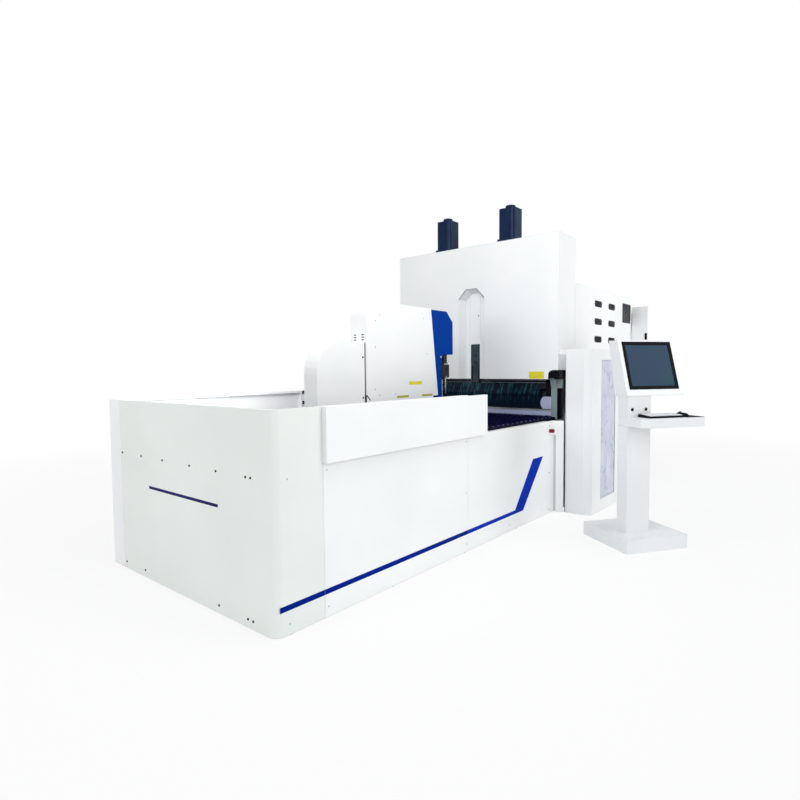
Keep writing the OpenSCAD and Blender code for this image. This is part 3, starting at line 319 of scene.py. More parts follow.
@dataclass(frozen=True)
class FilmFinish:
    """Thin clear sheet with a milky protective film, its creases and trapped air.

    Args:
        name: the material's name.
        color: the film's tint.
        crease: the tint where it is creased.
        smudge: the tint where air sits behind it.
        clear: share of light that passes.
    """

    name: str
    color: Tint
    crease: Tint
    smudge: Tint
    clear: float = 0.25

    def build(self) -> bpy.types.Material:
        """Makes the material.

        Returns:
            The new material.
        """
        shader = Shader(self.name)
        color, crease, smudge = (linear(tint) for tint in (self.color, self.crease, self.smudge))
        folds = shader.add("ShaderNodeTexVoronoi", {
            "Vector": shader.stretched((1.0, 1.6, 0.55)), "Scale": 5.0}, feature="DISTANCE_TO_EDGE")
        lines = shader.spread(folds.outputs["Distance"], 1.0, 0.0, 0.0, 0.05)
        cloud = shader.spread(shader.noise(9.0, 6.0, (1.0, 1.0, 0.4)), 0.0, 1.0)
        smudges = shader.spread(shader.noise(11.0, 3.0, (1.0, 1.0, 0.8)), 0.0, 0.8, 0.58, 0.68)
        shaded = shader.blend(smudges, shader.blend(cloud, color, crease), smudge)
        surface = shader.add("ShaderNodeBsdfPrincipled", {
            "Base Color": shader.blend(lines, shaded, crease), "Transmission Weight": self.clear,
            "IOR": 1.45, "Roughness": shader.spread(cloud, 0.12, 0.32, 0.0, 1.0),
            "Normal": shader.bump(lines, 0.002, 0.4)})
        return shader.finish(surface.outputs[0])


# What several finishes have in common
SHEET = {"fine": 420.0, "relief": 0.0003, "strength": 0.18, "speck": 0.1, "fold": 0.003}
DRAWN = {"grain": Grain.ALONG_X, "fine": 900.0, "relief": 0.0001, "strength": 0.2, "patch": 6.0}
GROUND = {"grain": Grain.ALONG_Z, "fine": 700.0, "relief": 0.0001, "specular": 0.07, "fold": 0.003}
MOULDED = {"fine": 900.0, "patch": 30.0, "fold": 0.001}
VINYL = {"fine": 700.0, "fold": 0.0}
EDGING = {"fine": 900.0, "fold": 0.0}
SMALL = {"patch": 60.0, "fold": 0.0005}

FINISHES: tuple[Finish | FilmFinish, ...] = (
    Finish("white_paint", "F2F4F4", "EBEEEE", (0.3, 0.42), coat=0.2, **SHEET),
    # Darker copy of the white paint for the front wall: painted shade on faces that get less light
    Finish("front_wall_painted_shade", "E8EDEA", "E1E7E3", (0.32, 0.45), coat=0.1, **SHEET),
    # Darker copy of the white paint for the console: painted shade
    Finish("console_painted_shade", "E6E9EB", "DFE3E5", (0.32, 0.45), coat=0.1, **SHEET),
    Finish("blue_paint", "003C9A", "003388", specular=0.02, fold=0.003),
    Finish("frame_paint", "0B0C2C", "07081E", (0.5, 0.7), specular=0.06),
    Finish("press_paint", "86969A", "728288", (0.38, 0.55), strength=0.3, specular=0.3),
    Finish("bed_paint", "B0B5D2", "9CA3C4", strength=0.3, specular=0.3),
    Finish("mech_paint", "2B3C46", "18252E", (0.3, 0.5), strength=0.3, specular=0.25, patch=9.0),
    Finish("dark_paint", "0C0D14", "07080D", (0.4, 0.6), specular=0.06, patch=8.0),
    Finish("grille_grey", "343B42", "26243F", (0.45, 0.65), specular=0.15, patch=5.0),
    Finish("machine_steel", (0.48, 0.50, 0.53), (0.34, 0.36, 0.40), (0.24, 0.42), metallic=1.0,
           fold=0.001, **DRAWN),
    Finish("strip_steel", (0.008, 0.009, 0.018), (0.018, 0.020, 0.034), (0.3, 0.5), specular=0.08, **DRAWN),
    Finish("drab_paint", "2F3428", "241F2A", specular=0.1, patch=16.0),
    # The tools' teal accent is a painted glint: streaks on some segments, broken along Z and fading out below
    # the rise; the blades get fainter ones
    Finish("tool_steel", (0.002, 0.003, 0.014), (0.045, 0.190, 0.240), (0.25, 0.4), cell=0.0085, slant=-0.22,
           rise=(1.0, 1.15), **GROUND),
    Finish("blade_steel", (0.003, 0.005, 0.018), (0.010, 0.030, 0.050), (0.25, 0.42), cell=0.023, slant=-0.1,
           **GROUND),
    Finish("motor_paint", "051640", "0A2A44", (0.15, 0.22), specular=0.11, fine=250.0, relief=0.0001,
           strength=0.04, patch=9.0, fold=0.004),
    Finish("black_plastic", "0C0D14", "08090E", (0.45, 0.65), fine=1500.0, relief=0.0002, strength=0.35,
           patch=20.0, specular=0.06, fold=0.001),
    Finish("key_plastic", "E9EEF2", "D9DFE4", (0.4, 0.55), fine=1800.0, relief=0.0001, patch=30.0,
           fold=0.001),
    Finish("brush_bristle", "0F1046", "06061E", (0.5, 0.8), grain=Grain.ALONG_Z, relief=0.002, strength=0.6,
           patch=14.0, speck=0.5, specular=0.05, **VINYL),
    Finish("red_plastic", "6E0F1C", "560B16", (0.22, 0.36), specular=0.3, **MOULDED),
    Finish("collar_red", "A22C38", "8C2430", (0.3, 0.45), specular=0.2, **MOULDED),
    Finish("screen_glass", "1E4450", "283C58", (0.12, 0.2), fine=1200.0, relief=0.00005, strength=0.05,
           patch=3.0, speck=0.05, specular=0.06, fold=0.0),
    FilmFinish("guard_film", "E8EAF4", "CFD5E8", "97A6DA"),
    Finish("stripe_blue", "00218E", "001B78", (0.4, 0.55), specular=0.02, fine=600.0, fold=0.0),
    Finish("flag_blue", "0031B8", "002AA2", (0.4, 0.55), specular=0.02, fine=600.0, fold=0.0),
    Finish("navy_vinyl", "04095A", "030746", (0.4, 0.55), specular=0.1, **VINYL),
    Finish("yellow_vinyl", "E6DF22", "D9CC1C", patch=14.0, **VINYL),
    Finish("olive_vinyl", "B9B030", "A0982A", patch=14.0, **VINYL),
    # Grey for the niche's real seams, and for painted shadow round the guard window and painted highlight on
    # the clamp ledges
    Finish("seams_and_painted_light_grey", "AEB5B9", "9BA3A8", (0.5, 0.7), **EDGING),
    # Grey for the painted shadow line along the niche's top
    Finish("niche_shadow_grey", "6E757B", "585F66", (0.4, 0.6), specular=0.2, **EDGING),
    Finish("corner_shade_grey", "C3CCCB", "B8C2C1", (0.4, 0.55), **EDGING),
    Finish("screw_black", "1A1B20", "0F1014", (0.4, 0.6), specular=0.15, fine=2000.0, **SMALL),
    Finish("screw_zinc", (0.5, 0.51, 0.52), (0.36, 0.37, 0.39), (0.25, 0.42), metallic=1.0,
           fine=2000.0, **SMALL),
    Finish("plug_grey", "C9CECF", "B4BABC", (0.4, 0.55), fine=1500.0, **SMALL),
    Finish("beige_pipe", "C8BE96", "ADA27A", (0.3, 0.45), patch=30.0, **EDGING),
    # Black for rubber parts, and for the painted shadow in the gap between cover and housing
    Finish("rubber_and_shadow_black", "0E0E10", "08080A", (0.6, 0.85), fine=1200.0, relief=0.0003, strength=0.4,
           patch=20.0, specular=0.1, fold=0.0),
)

# CAD nodes whose look differs from the rest of their slot; the front wall's and the console's darker whites
# are painted shade
NODE_FINISHES: dict[str, str] = {
    "front_wall": "front_wall_painted_shade", "vent_grilles": "grille_grey", "estop_base": "collar_red",
    "blankholder_beam": "dark_paint", "tool_clamp_strip": "strip_steel", "bend_blades": "blade_steel",
    "press_cylinder": "drab_paint", "console_base": "console_painted_shade", "console_post": "console_painted_shade",
    "console_tray": "console_painted_shade", "monitor_housing": "console_painted_shade",
}

# Slot of the record listed for the added pieces of each finish, unless they name another; fit looks it up but
# gives it to no piece
PIECE_SLOTS: dict[str, str] = {
    "white_paint": "white_paint", "console_painted_shade": "white_paint", "corner_shade_grey": "white_paint",
    "seams_and_painted_light_grey": "white_paint", "niche_shadow_grey": "white_paint", "plug_grey": "white_paint",
    "dark_paint": "black_plastic", "rubber_and_shadow_black": "black_plastic", "brush_bristle": "brush_bristle",
    "stripe_blue": "blue_paint", "flag_blue": "blue_paint", "navy_vinyl": "frame_paint",
    "yellow_vinyl": "yellow_plastic", "olive_vinyl": "yellow_plastic", "screw_black": "machine_steel",
    "screw_zinc": "machine_steel", "beige_pipe": "machine_steel",
}


class Palette(dict[str, bpy.types.Material]):
    """The finishes as materials by name, each made once."""

    def __init__(self, finishes: tuple[Finish | FilmFinish, ...]) -> None:
        """Builds the material of every finish."""
        super().__init__((finish.name, finish.build()) for finish in finishes)

    def dress(self, nodes: dict[str, bpy.types.Object], record: dict) -> int:
        """Gives every CAD node the finish of its material slot.

        Args:
            nodes: the frame's node objects by name.
            record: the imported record.

        Returns:
            How many nodes were dressed.
        """
        for entry in record["subparts"]:
            for slot in nodes[entry["node"]].material_slots:
                slot.link = "OBJECT"
                slot.material = self[NODE_FINISHES.get(entry["node"], entry["material_slot"])]
        return len(record["subparts"])


def mesh_piece(name: str, mesh: bmesh.types.BMesh, smooth: bool = False) -> Piece:
    """Turns a bmesh into an object in the scene.

    Args:
        name: the object's name.
        mesh: the geometry, which is freed.
        smooth: whether faces shade smooth.

    Returns:
        The new object.
    """
    bmesh.ops.recalc_face_normals(mesh, faces=mesh.faces)
    for face in mesh.faces:
        face.smooth = smooth
    data = bpy.data.meshes.new(name)
    mesh.to_mesh(data)
    mesh.free()
    piece = bpy.data.objects.new(name, data)
    bpy.context.scene.collection.objects.link(piece)
    return piece


def slab(name: str, x: Pair, y: Pair, z: Pair, edge: float = 0.0, segments: int = 2) -> Piece:
    """A block with softened edges.

    Args:
        name: the object's name.
        x: its two ends on X.
        y: its two ends on Y.
        z: its two ends on Z.
        edge: width of the softened edges.
        segments: steps across each softened edge.

    Returns:
        The new object.
    """
    mesh = bmesh.new()
    size = [end - start for start, end in (x, y, z)]
    middle = [(end + start) / 2 for start, end in (x, y, z)]
    bmesh.ops.create_cube(mesh, size=1.0, matrix=Matrix.Translation(middle) @ Matrix.Diagonal((*size, 1.0)))
    if edge > 0:
        bmesh.ops.bevel(mesh, geom=mesh.edges[:], offset=edge, segments=segments, affect="EDGES")
    return mesh_piece(name, mesh)


def sheet(name: str, outline: list[Vec], thickness: Vec) -> Piece:
    """A flat piece of any outline.

    Args:
        name: the object's name.
        outline: the corners of one face, in order.
        thickness: the step from that face to the other.

    Returns:
        The new object.
    """
    mesh = bmesh.new()
    face = mesh.faces.new([mesh.verts.new(point) for point in outline])
    grown = bmesh.ops.extrude_face_region(mesh, geom=[face])
    moved = [item for item in grown["geom"] if isinstance(item, bmesh.types.BMVert)]
    bmesh.ops.translate(mesh, verts=moved, vec=thickness)
    return mesh_piece(name, mesh)


def lathe(name: str, profile: list[Pair], place: Matrix, steps: int, smooth: bool = True) -> Piece:
    """A turned piece.

    Args:
        name: the object's name.
        profile: radius and height pairs from the axis round to the axis, or a closed ring.
        place: where the piece's +Z axis goes.
        steps: facets round the axis.
        smooth: whether faces shade smooth.

    Returns:
        The new object.
    """
    mesh = bmesh.new()
    rings = []
    for radius, height in profile:
        if radius < 1e-6:
            rings.append([mesh.verts.new((0, 0, height))])
            continue
        angles = [2 * math.pi * i / steps for i in range(steps)]
        rings.append([mesh.verts.new((radius * math.cos(a), radius * math.sin(a), height)) for a in angles])
    for lower, upper in zip(rings, rings[1:]):
        for i in range(steps):
            corners = [lower[i % len(lower)], lower[(i + 1) % len(lower)],
                       upper[(i + 1) % len(upper)], upper[i % len(upper)]]
            distinct = list(dict.fromkeys(corners))
            if len(distinct) > 2:
                mesh.faces.new(distinct)
    bmesh.ops.transform(mesh, matrix=place, verts=mesh.verts)
    return mesh_piece(name, mesh, smooth)


class GeometryTree(NodeTree):
    """A Geometry Nodes tree with named inputs that fills a mesh of points with instances."""

    def __init__(self, name: str) -> None:
        """Starts a tree with geometry in and out.

        Args:
            name: the tree's name.
        """
        super().__init__(bpy.data.node_groups.new(name, "GeometryNodeTree"))
        for way in ("INPUT", "OUTPUT"):
            self.tree.interface.new_socket("Geometry", in_out=way, socket_type="NodeSocketGeometry")
        self.entry = self.add("NodeGroupInput")
        self.values: dict[str, float] = {}

    def size(self, name: str, value: float) -> Socket:
        """Adds a named number input.

        Args:
            name: the input's name.
            value: its value.

        Returns:
            The socket that gives the value inside the tree.
        """
        self.tree.interface.new_socket(name, in_out="INPUT", socket_type="NodeSocketFloat")
        self.values[name] = value
        return self.entry.outputs[name]

    def scatter(self, name: str, points: list[Vec], material: bpy.types.Material,
                placing: dict[str, object]) -> Piece:
        """Puts an instance on every point and keeps the result as a plain mesh.

        Args:
            name: the result's name.
            points: where the instances go.
            material: the material of every instance.
            placing: the instance, its rotation and its scale, by input name.

        Returns:
            The new object, which has no modifier.
        """
        spots = self.add("GeometryNodeMeshToPoints", {"Mesh": self.entry.outputs["Geometry"]})
        placed = self.add("GeometryNodeInstanceOnPoints", {"Points": spots.outputs["Points"], **placing})
        whole = self.add("GeometryNodeRealizeInstances", {"Geometry": placed.outputs["Instances"]})
        painted = self.add("GeometryNodeSetMaterial", {
            "Geometry": whole.outputs["Geometry"], "Material": material})
        self.add("NodeGroupOutput", {"Geometry": painted.outputs["Geometry"]})
        data = bpy.data.meshes.new(name)
        data.from_pydata(points, [], [])
        piece = bpy.data.objects.new(name, data)
        bpy.context.scene.collection.objects.link(piece)
        modifier = piece.modifiers.new(name, "NODES")
        modifier.node_group = self.tree
        for item in self.tree.interface.items_tree:
            if item.in_out == "INPUT" and item.name in self.values:
                modifier[item.identifier] = self.values[item.name]
        depsgraph = bpy.context.evaluated_depsgraph_get()
        mesh = bpy.data.meshes.new_from_object(piece.evaluated_get(depsgraph), depsgraph=depsgraph)
        piece.modifiers.clear()
        piece.data = mesh
        return piece


@dataclass
class Trim:
    """A group of visible pieces on one part of the machine.

    Args:
        palette: the materials to dress pieces with.
        body: the body that carries them, unless a piece names another.
        film: thickness of vinyl and thin strips.
    """

    palette: Palette
    body: str = "machine"
    film: float = 0.0005

    def fit(self, piece: Piece, finish: str, slot: str = "", body: str = "") -> None:
        """Dresses a piece, rides it on a body and reports it.

        Args:
            piece: the mesh object, in place in the row frame.
            finish: the finish's name.
            slot: the record's material slot, where it isn't the finish's usual one; looked up but not used.
            body: the body that carries it, where it isn't the group's own.
        """
        body = body or self.body
        slot = slot or PIECE_SLOTS[finish]
        piece.data.materials.clear()
        piece.data.materials.append(self.palette[finish])
        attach(piece, body)
        LOG.info("%s rides on %s in %s", piece.name, body, finish)

    def screws(self, name: str, points: list[Vec], side: Side, radius: float = 0.007, height: float = 0.0035,
               finish: str = "screw_black", slot: str = "", tilt: Vec | None = None) -> None:
        """Adds screws or plugs: domed rims with six-sided sockets, made with Geometry Nodes.

        Args:
            name: the piece's name.
            points: the centre of each head's underside.
            side: which way the heads face.
            radius: head radius.
            height: head height.
            finish: the heads' finish.
            slot: the record's material slot, where it isn't the finish's usual one.
            tilt: Euler angles that take the place of the side's own.
        """
        tree = GeometryTree("socket_screws")
        width, depth = tree.size("Head radius", radius), tree.size("Head height", height)
        inner = tree.math("MULTIPLY", width, tree.size("Socket share", 0.5))
        rim = tree.add("GeometryNodeMeshCone", {
            "Vertices": 20, "Radius Bottom": width, "Radius Top": tree.math("MULTIPLY", width, 0.78),
            "Depth": depth}, fill_type="NGON")
        socket = tree.add("GeometryNodeMeshCylinder", {"Vertices": 6, "Radius": inner, "Depth": depth},
                          fill_type="NGON")
        lift = tree.add("ShaderNodeCombineXYZ", {"Z": depth})
        raised = tree.add("GeometryNodeTransform", {
            "Geometry": socket.outputs["Mesh"], "Translation": lift.outputs[0]})
        cut = tree.add("GeometryNodeMeshBoolean", {
            "Mesh 1": rim.outputs["Mesh"], "Mesh 2": raised.outputs["Geometry"]}, operation="DIFFERENCE")
        piece = tree.scatter(name, points, self.palette[finish], {
            "Instance": cut.outputs["Mesh"], "Rotation": tilt or side.value})
        self.fit(piece, finish, slot)


@dataclass
class FenceTrim(Trim):
    """Screws, stripe and bar on the fence and the side panels.

    Args:
        stripe: lower and upper edge of the stripe.
        stripe_start: the stripe's front end on Y.
        rise: the places on Y and Z where the stripe's rising end turns.
        seam: gap in the stripe at each panel's seam.
        bar: the front bar's ends on X and its edges on Z.
        upper_row: places on X of the front's upper screws, then their height.
        lower_row: the same for its lower screws.
        plugs: places on Y and Z of the side's plugs.
        latches: lower ends of the far post's latches.
        corner_foot: place on Y and Z of the slanted corner's foot.
        corner_run: its run along X and Y.
        strip: how far along it the grey-green strip of painted shade starts and ends, then the strip's top.
        lip: the white lip's faces on Y and ends on Z.
        seal: the same for the dark seal beside it.
        corner_screws: heights of the corner's screws.
    """

    stripe: Pair = (0.131, 0.161)
    stripe_start: float = -3.332
    rise: tuple[Pair, ...] = ((-0.764, 0.131), (-0.385, 0.549), (-0.582, 0.549), (-0.906, 0.161))
    seam: float = 0.0015
    bar: tuple[Pair, Pair] = ((-0.344, 0.439), (0.598, 0.616))
    upper_row: tuple[tuple[float, ...], float] = ((-0.706, -0.438, -0.163, 0.153, 0.428, 0.702, 0.745), 0.798)
    lower_row: tuple[tuple[float, ...], float] = ((-0.698, -0.431, 0.427, 0.697, 0.742), 0.05)
    plugs: tuple[Pair, ...] = (
        (-3.271, 0.801), (-3.005, 0.809), (-1.642, 0.815), (-1.643, 0.436), (-0.4, 0.815),
        (-3.271, 0.06), (-3.005, 0.06), (-1.642, 0.06), (-1.0, 0.06), (-0.4, 0.06))
    latches: Pair = (1.024, 1.120)
    corner_foot: Pair = (-0.190, 0.012)
    corner_run: Pair = (0.090, 0.044)
    strip: tuple[Pair, float] = ((0.009, 0.031), 0.722)
    lip: tuple[Pair, Pair] = ((-0.1238, -0.1188), (0.002, 1.505))
    seal: tuple[Pair, Pair] = ((-0.1228, -0.1198), (0.002, 0.856))
    corner_screws: tuple[float, ...] = (0.813, 0.380, 0.038)

    def build(self) -> None:
        """Makes the fence's trim."""
        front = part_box("front_wall")[0][1]
        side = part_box("press_side_panels")[1][0]
        rows = (self.upper_row, self.lower_row)
        spots = [(x, front, height) for places, height in rows for x in places]
        self.screws("front_screws", spots, Side.FRONT)
        spots = [(side, y, z) for y, z in self.plugs]
        self.screws("side_plugs", spots, Side.RIGHT, radius=0.006, height=0.0015, finish="plug_grey")
        self.side_stripe(side)
        self.post_latches()
        self.corner(side)
        self.fit(slab("front_bar", self.bar[0], (front - self.film, front), self.bar[1]), "navy_vinyl")

    def side_stripe(self, side: float) -> None:
        """The blue line that runs along the panels and rises at its end.

        Args:
            side: the side face's place on X.
        """
        seams = (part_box("front_wall")[1][1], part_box("near_side_panel")[1][1])
        starts = (self.stripe_start, seams[0] + self.seam, seams[1] + self.seam)
        for number, (start, end) in enumerate(zip(starts, seams), 1):
            stripe = slab(f"stripe_{number}", (side, side + self.film), (start, end), self.stripe)
            self.fit(stripe, "stripe_blue")
        low, high = self.stripe
        outline = [(side, y, z) for y, z in ((starts[2], low), *self.rise, (starts[2], high))]
        self.fit(sheet("stripe_rise", outline, (self.film, 0, 0)), "flag_blue")

    def post_latches(self) -> None:
        """Two dark latches on the far wall's end post."""
        low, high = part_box("far_side_wall")
        face, middle = low[0] + 0.035, high[1] - 0.044
        spots = []
        for number, foot in enumerate(self.latches, 1):
            latch = slab(f"post_latch_{number}", (face, face + 0.012), (middle - 0.01, middle + 0.01),
                         (foot, foot + 0.03), edge=0.002)
            self.fit(latch, "rubber_and_shadow_black")
            spots.append((face + 0.012, middle, foot + 0.015))
        self.screws("latch_screws", spots, Side.RIGHT, radius=0.005, height=0.003, finish="screw_zinc")

    def corner(self, side: float) -> None:
        """A grey-green strip of painted shade by the inside fold, white lip, dark seal and screws at the
        slanted corner beside the press.

        Args:
            side: the side face's place on X.
        """
        low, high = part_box("estop_panel")
        foot, along = Vector((side, *self.corner_foot)), Vector((*self.corner_run, 0.0)).normalized()
        steps, top = self.strip
        near, far = (foot + along * step for step in steps)
        outline = [tuple(near), tuple(far), (*far[:2], top), (*near[:2], top)]
        # Grey-green strip that paints the shade of the inside fold below the stop button
        strip = sheet("corner_shade_strip", outline, (along.y * self.film, -along.x * self.film, 0))
        self.fit(strip, "corner_shade_grey")
        start, seam, tip = (high[0] + step for step in (0.0006, 0.0055, 0.0103))
        self.fit(slab("guard_lip", (seam, tip), *self.lip, edge=0.001), "white_paint")
        self.fit(slab("gap_seal", (start, seam), *self.seal), "rubber_and_shadow_black")
        spots = [(side, low[1] + 0.029, z) for z in self.corner_screws]
        self.screws("corner_screws", spots, Side.RIGHT, radius=0.005, height=0.003)


@dataclass
class LoadingTable(Trim):
    """Bristle tufts in rows on the table's brush strips, and rivets along its edges.

    Args:
        pitch: step from one strip to the next.
        strip: width of a strip.
        spacing: step between tufts along a strip.
        slot: half width of the bare slot in the middle.
        lines: places of the rows of tufts across a strip.
        reach: height of a tuft above its strip.
        foot: a tuft's radius at its foot.
        crown: its radius at its top.
        lean: how far a tuft leans to any side, in radians.
        growth: smallest and largest share of the full size.
        seed: fixes each tuft's lean and size.
        rivets: how many rivets fit along an edge at most.
        front_end: place on Y where the rivets end.
    """

    pitch: float = 0.08
    strip: float = 0.034
    spacing: float = 0.0125
    slot: float = 0.130
    lines: Pair = (-0.009, 0.009)
    reach: float = 0.011
    foot: float = 0.0024
    crown: float = 0.0046
    lean: float = 0.22
    growth: Pair = (0.8, 1.15)
    seed: int = 7
    rivets: int = 78
    front_end: float = -3.2

    def build(self) -> None:
        """Sets the rivets and grows the tufts on every strip."""
        low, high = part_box("brush_strips")
        self.edge_rivets(high)
        rows = round((high[1] - low[1] - self.strip) / self.pitch) + 1
        across = int((high[0] - self.slot) / self.spacing)
        points = []
        for row in range(rows):
            middle = high[1] - self.strip / 2 - row * self.pitch
            for line in self.lines:
                for step in range(across):
                    x = self.slot + (step + 0.5) * self.spacing
                    points += [(x, middle + line, high[2]), (-x, middle + line, high[2])]
        tree = GeometryTree("bristle_tufts")
        tuft = tree.add("GeometryNodeMeshCone", {
            "Vertices": 5, "Radius Bottom": tree.size("Foot radius", self.foot),
            "Radius Top": tree.size("Crown radius", self.crown),
            "Depth": tree.size("Tuft height", self.reach)}, fill_type="NGON")
        lean = tree.add("FunctionNodeRandomValue", {
            "Min": (-self.lean, -self.lean, 0.0), "Max": (self.lean, self.lean, 6.2), "Seed": self.seed},
            data_type="FLOAT_VECTOR")
        growth = tree.add("FunctionNodeRandomValue", {
            2: self.growth[0], 3: self.growth[1], "Seed": self.seed + 1}, data_type="FLOAT")
        piece = tree.scatter("bristle_tufts", points, self.palette["brush_bristle"], {
            "Instance": tuft.outputs["Mesh"], "Rotation": lean.outputs["Value"], "Scale": growth.outputs[1]})
        self.fit(piece, "brush_bristle")

    def edge_rivets(self, high: Vec) -> None:
        """Rows of pale rivets along both outer edges of the brush field.

        Args:
            high: the brush strips' upper corner.
        """
        for sign, side in (("left", -1), ("right", 1)):
            spots = []
            for row in range(self.rivets):
                y = high[1] - self.pitch * (row / 2 + 0.25) - self.strip / 2
                if y > self.front_end:
                    spots.append((side * (high[0] - 0.008 - 0.03 * (row % 2)), y, high[2] - 0.002))
            self.screws(f"edge_rivets_{sign}", spots, Side.UP, radius=0.0032, height=0.003,
                        finish="plug_grey", slot="machine_steel")


@dataclass
class ManipulatorTrim(Trim):
    """Plugs, strips and small fittings on the travelling manipulator.

    Args:
        body: the body that carries them.
        plugs: places on Y and Z of the arm cover's plugs.
        dots: the same for the rear housing's screws.
        vents: the vent inserts' places on X, then the lowest height and the step.
        insert: half a vent insert's width and height.
        arm_plug: place on Y and Z of the arm's plug.
        gap: ends on Z of the dark strip that paints the shadow in the gap between cover and housing.
        skirt: the cover skirt's ends on Y and the size of its bevel.
        bend: corners on Y and Z of the seal round the cover's lower bend.
        strips: name, finish and place on Y and Z of each plain strip.
        pipe: the blow pipe's place on X and Y.
        bracket: its bracket's ends on Y and on Z.
        cap: the same for the white cap.
        fitting_row: the air fittings' places on Y, then their height.
    """

    body: str = "feed_carriage"
    plugs: tuple[Pair, ...] = (
        (-1.683, 1.736), (-1.629, 1.788), (-1.046, 1.794), (-1.687, 1.525), (-0.993, 1.480),
        (-1.692, 1.180), (-1.640, 1.129), (-1.438, 1.131))
    dots: tuple[Pair, ...] = ((-1.820, 1.439), (-1.820, 1.118))
    vents: tuple[Pair, float, float] = ((-0.038, 0.046), 1.580, 0.020)
    insert: Pair = (0.0138, 0.0038)
    arm_plug: Pair = (-0.774, 1.453)
    gap: Pair = (1.105, 1.552)
    skirt: Vec = (-1.791, -0.9, 0.047)
    bend: tuple[Pair, ...] = ((-1.793, 1.142), (-1.793, 1.131), (-1.7535, 1.0915), (-1.7475, 1.0965))
    strips: tuple[tuple[str, str, Pair, Pair], ...] = (
        ("strip_upper", "yellow_vinyl", (-1.257, -1.071), (1.206, 1.235)),
        ("strip_rear", "olive_vinyl", (-1.420, -1.261), (1.098, 1.117)),
        ("strip_front", "olive_vinyl", (-1.075, -0.916), (1.098, 1.115)))
    pipe: Pair = (0.062, -0.672)
    bracket: tuple[Pair, Pair] = ((-0.682, -0.662), (1.262, 1.272))
    cap: tuple[Pair, Pair] = ((-0.616, -0.5955), (1.380, 1.404))
    fitting_row: tuple[Pair, float] = ((-0.672, -0.640), 1.385)

    def build(self) -> None:
        """Makes the manipulator's trim."""
        cover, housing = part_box("arm_cover"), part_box("rear_housing")
        sides = (("right", 1, Side.RIGHT), ("left", 0, Side.LEFT))
        for sign, end, facing in sides:
            spots = [(cover[end][0], y, z) for y, z in self.plugs]
            self.screws(f"cover_plugs_{sign}", spots, facing, height=0.002, finish="plug_grey")
        for sign, end, facing in sides:
            spots = [(housing[end][0], y, z) for y, z in self.dots]
            self.screws(f"housing_screws_{sign}", spots, facing, radius=0.008)
        self.edges(cover, housing)
        self.vent_inserts(cover[0][1])
        spot = (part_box("arm_frame")[1][0], *self.arm_plug)
        self.screws("arm_plug", [spot], Side.RIGHT, radius=0.010, height=0.003, finish="plug_grey")
        side = cover[1][0]
        for name, finish, y, z in self.strips:
            self.fit(slab(name, (side, side + self.film), y, z), finish)
        self.fittings()

    def edges(self, cover: tuple[Vec, Vec], housing: tuple[Vec, Vec]) -> None:
        """The cover's skirts, a dark strip of painted shadow in the gap between it and the housing, and the
        seals round its lower bend.

        Args:
            cover: the arm cover's box.
            housing: the rear housing's box.
        """
        low, top = cover[0][2] - 0.075, cover[0][2] + 0.004
        start, end, bevel = self.skirt
        for sign, side in (("right", cover[1][0] - 0.0026), ("left", cover[0][0] + 0.0006)):
            outline = [(side, y, z) for y, z in ((start, low), (end, low), (end, top), (start + bevel, top),
                                                 (start, top + bevel))]
            self.fit(sheet(f"cover_skirt_{sign}", outline, (0.002, 0, 0)), "white_paint")
        # Dark strip in the gap between housing and cover: painted shadow
        seal = slab("housing_gap_shadow", (housing[0][0] - 0.002, housing[1][0] + 0.002),
                    (housing[1][1] + 0.0008, cover[0][1] - 0.0008), self.gap, edge=0.001)
        self.fit(seal, "rubber_and_shadow_black")
        for sign, side in (("right", cover[1][0] - 0.0008), ("left", cover[0][0] - 0.0002)):
            outline = [(side, y, z) for y, z in self.bend]
            self.fit(sheet(f"corner_seal_{sign}", outline, (0.001, 0, 0)), "rubber_and_shadow_black")

    def vent_inserts(self, face: float) -> None:
        """Two columns of dark inserts in the vents at the cover's end.

        Args:
            face: the end's place on Y.
        """
        (columns, lowest, step), (wide, tall) = self.vents, self.insert
        for number in range(6):
            x, z = columns[number % 2], lowest + step * (number // 2)
            insert = slab(f"vent_insert_{number + 1}", (x - wide, x + wide), (face + 0.0006, face + 0.0018),
                          (z - tall, z + tall))
            self.fit(insert, "rubber_and_shadow_black")

    def fittings(self) -> None:
        """A blow pipe with its ball end, a white cap and two air fittings on the clamp cylinder."""
        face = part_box("press_cylinder")[1][0]
        place = Matrix.Translation((*self.pipe, 0.0))
        pipe = [(0.0, 1.104), (0.0042, 1.1045), (0.0042, 1.247), (0.0, 1.2475)]
        arc = [math.radians(step) for step in range(20, 180, 20)]
        bow = [(0.0085 * math.sin(angle), 1.2545 - 0.0085 * math.cos(angle)) for angle in arc]
        ball = [(0.0, 1.246), *bow, (0.0, 1.263)]
        self.fit(lathe("blow_pipe", pipe, place, 16), "beige_pipe")
        self.fit(lathe("blow_pipe_joint", ball, place, 24), "plug_grey", "machine_steel")
        self.fit(slab("blow_pipe_bracket", (face - 0.002, 0.074), *self.bracket, edge=0.002), "screw_zinc")
        cap = slab("cylinder_cap", (face - 0.012, face + 0.010), *self.cap, edge=0.004, segments=3)
        self.fit(cap, "white_paint")
        profile = [(0.0, 0.0), (0.009, 0.0), (0.009, 0.008), (0.006, 0.010), (0.006, 0.020), (0.0045, 0.022),
                   (0.0, 0.022)]
        for number, y in enumerate(self.fitting_row[0], 1):
            place = Matrix.Translation((face, y, self.fitting_row[1])) @ turn(90, "Y")
            self.fit(lathe(f"air_fitting_{number}", profile, place, 12), "screw_zinc")


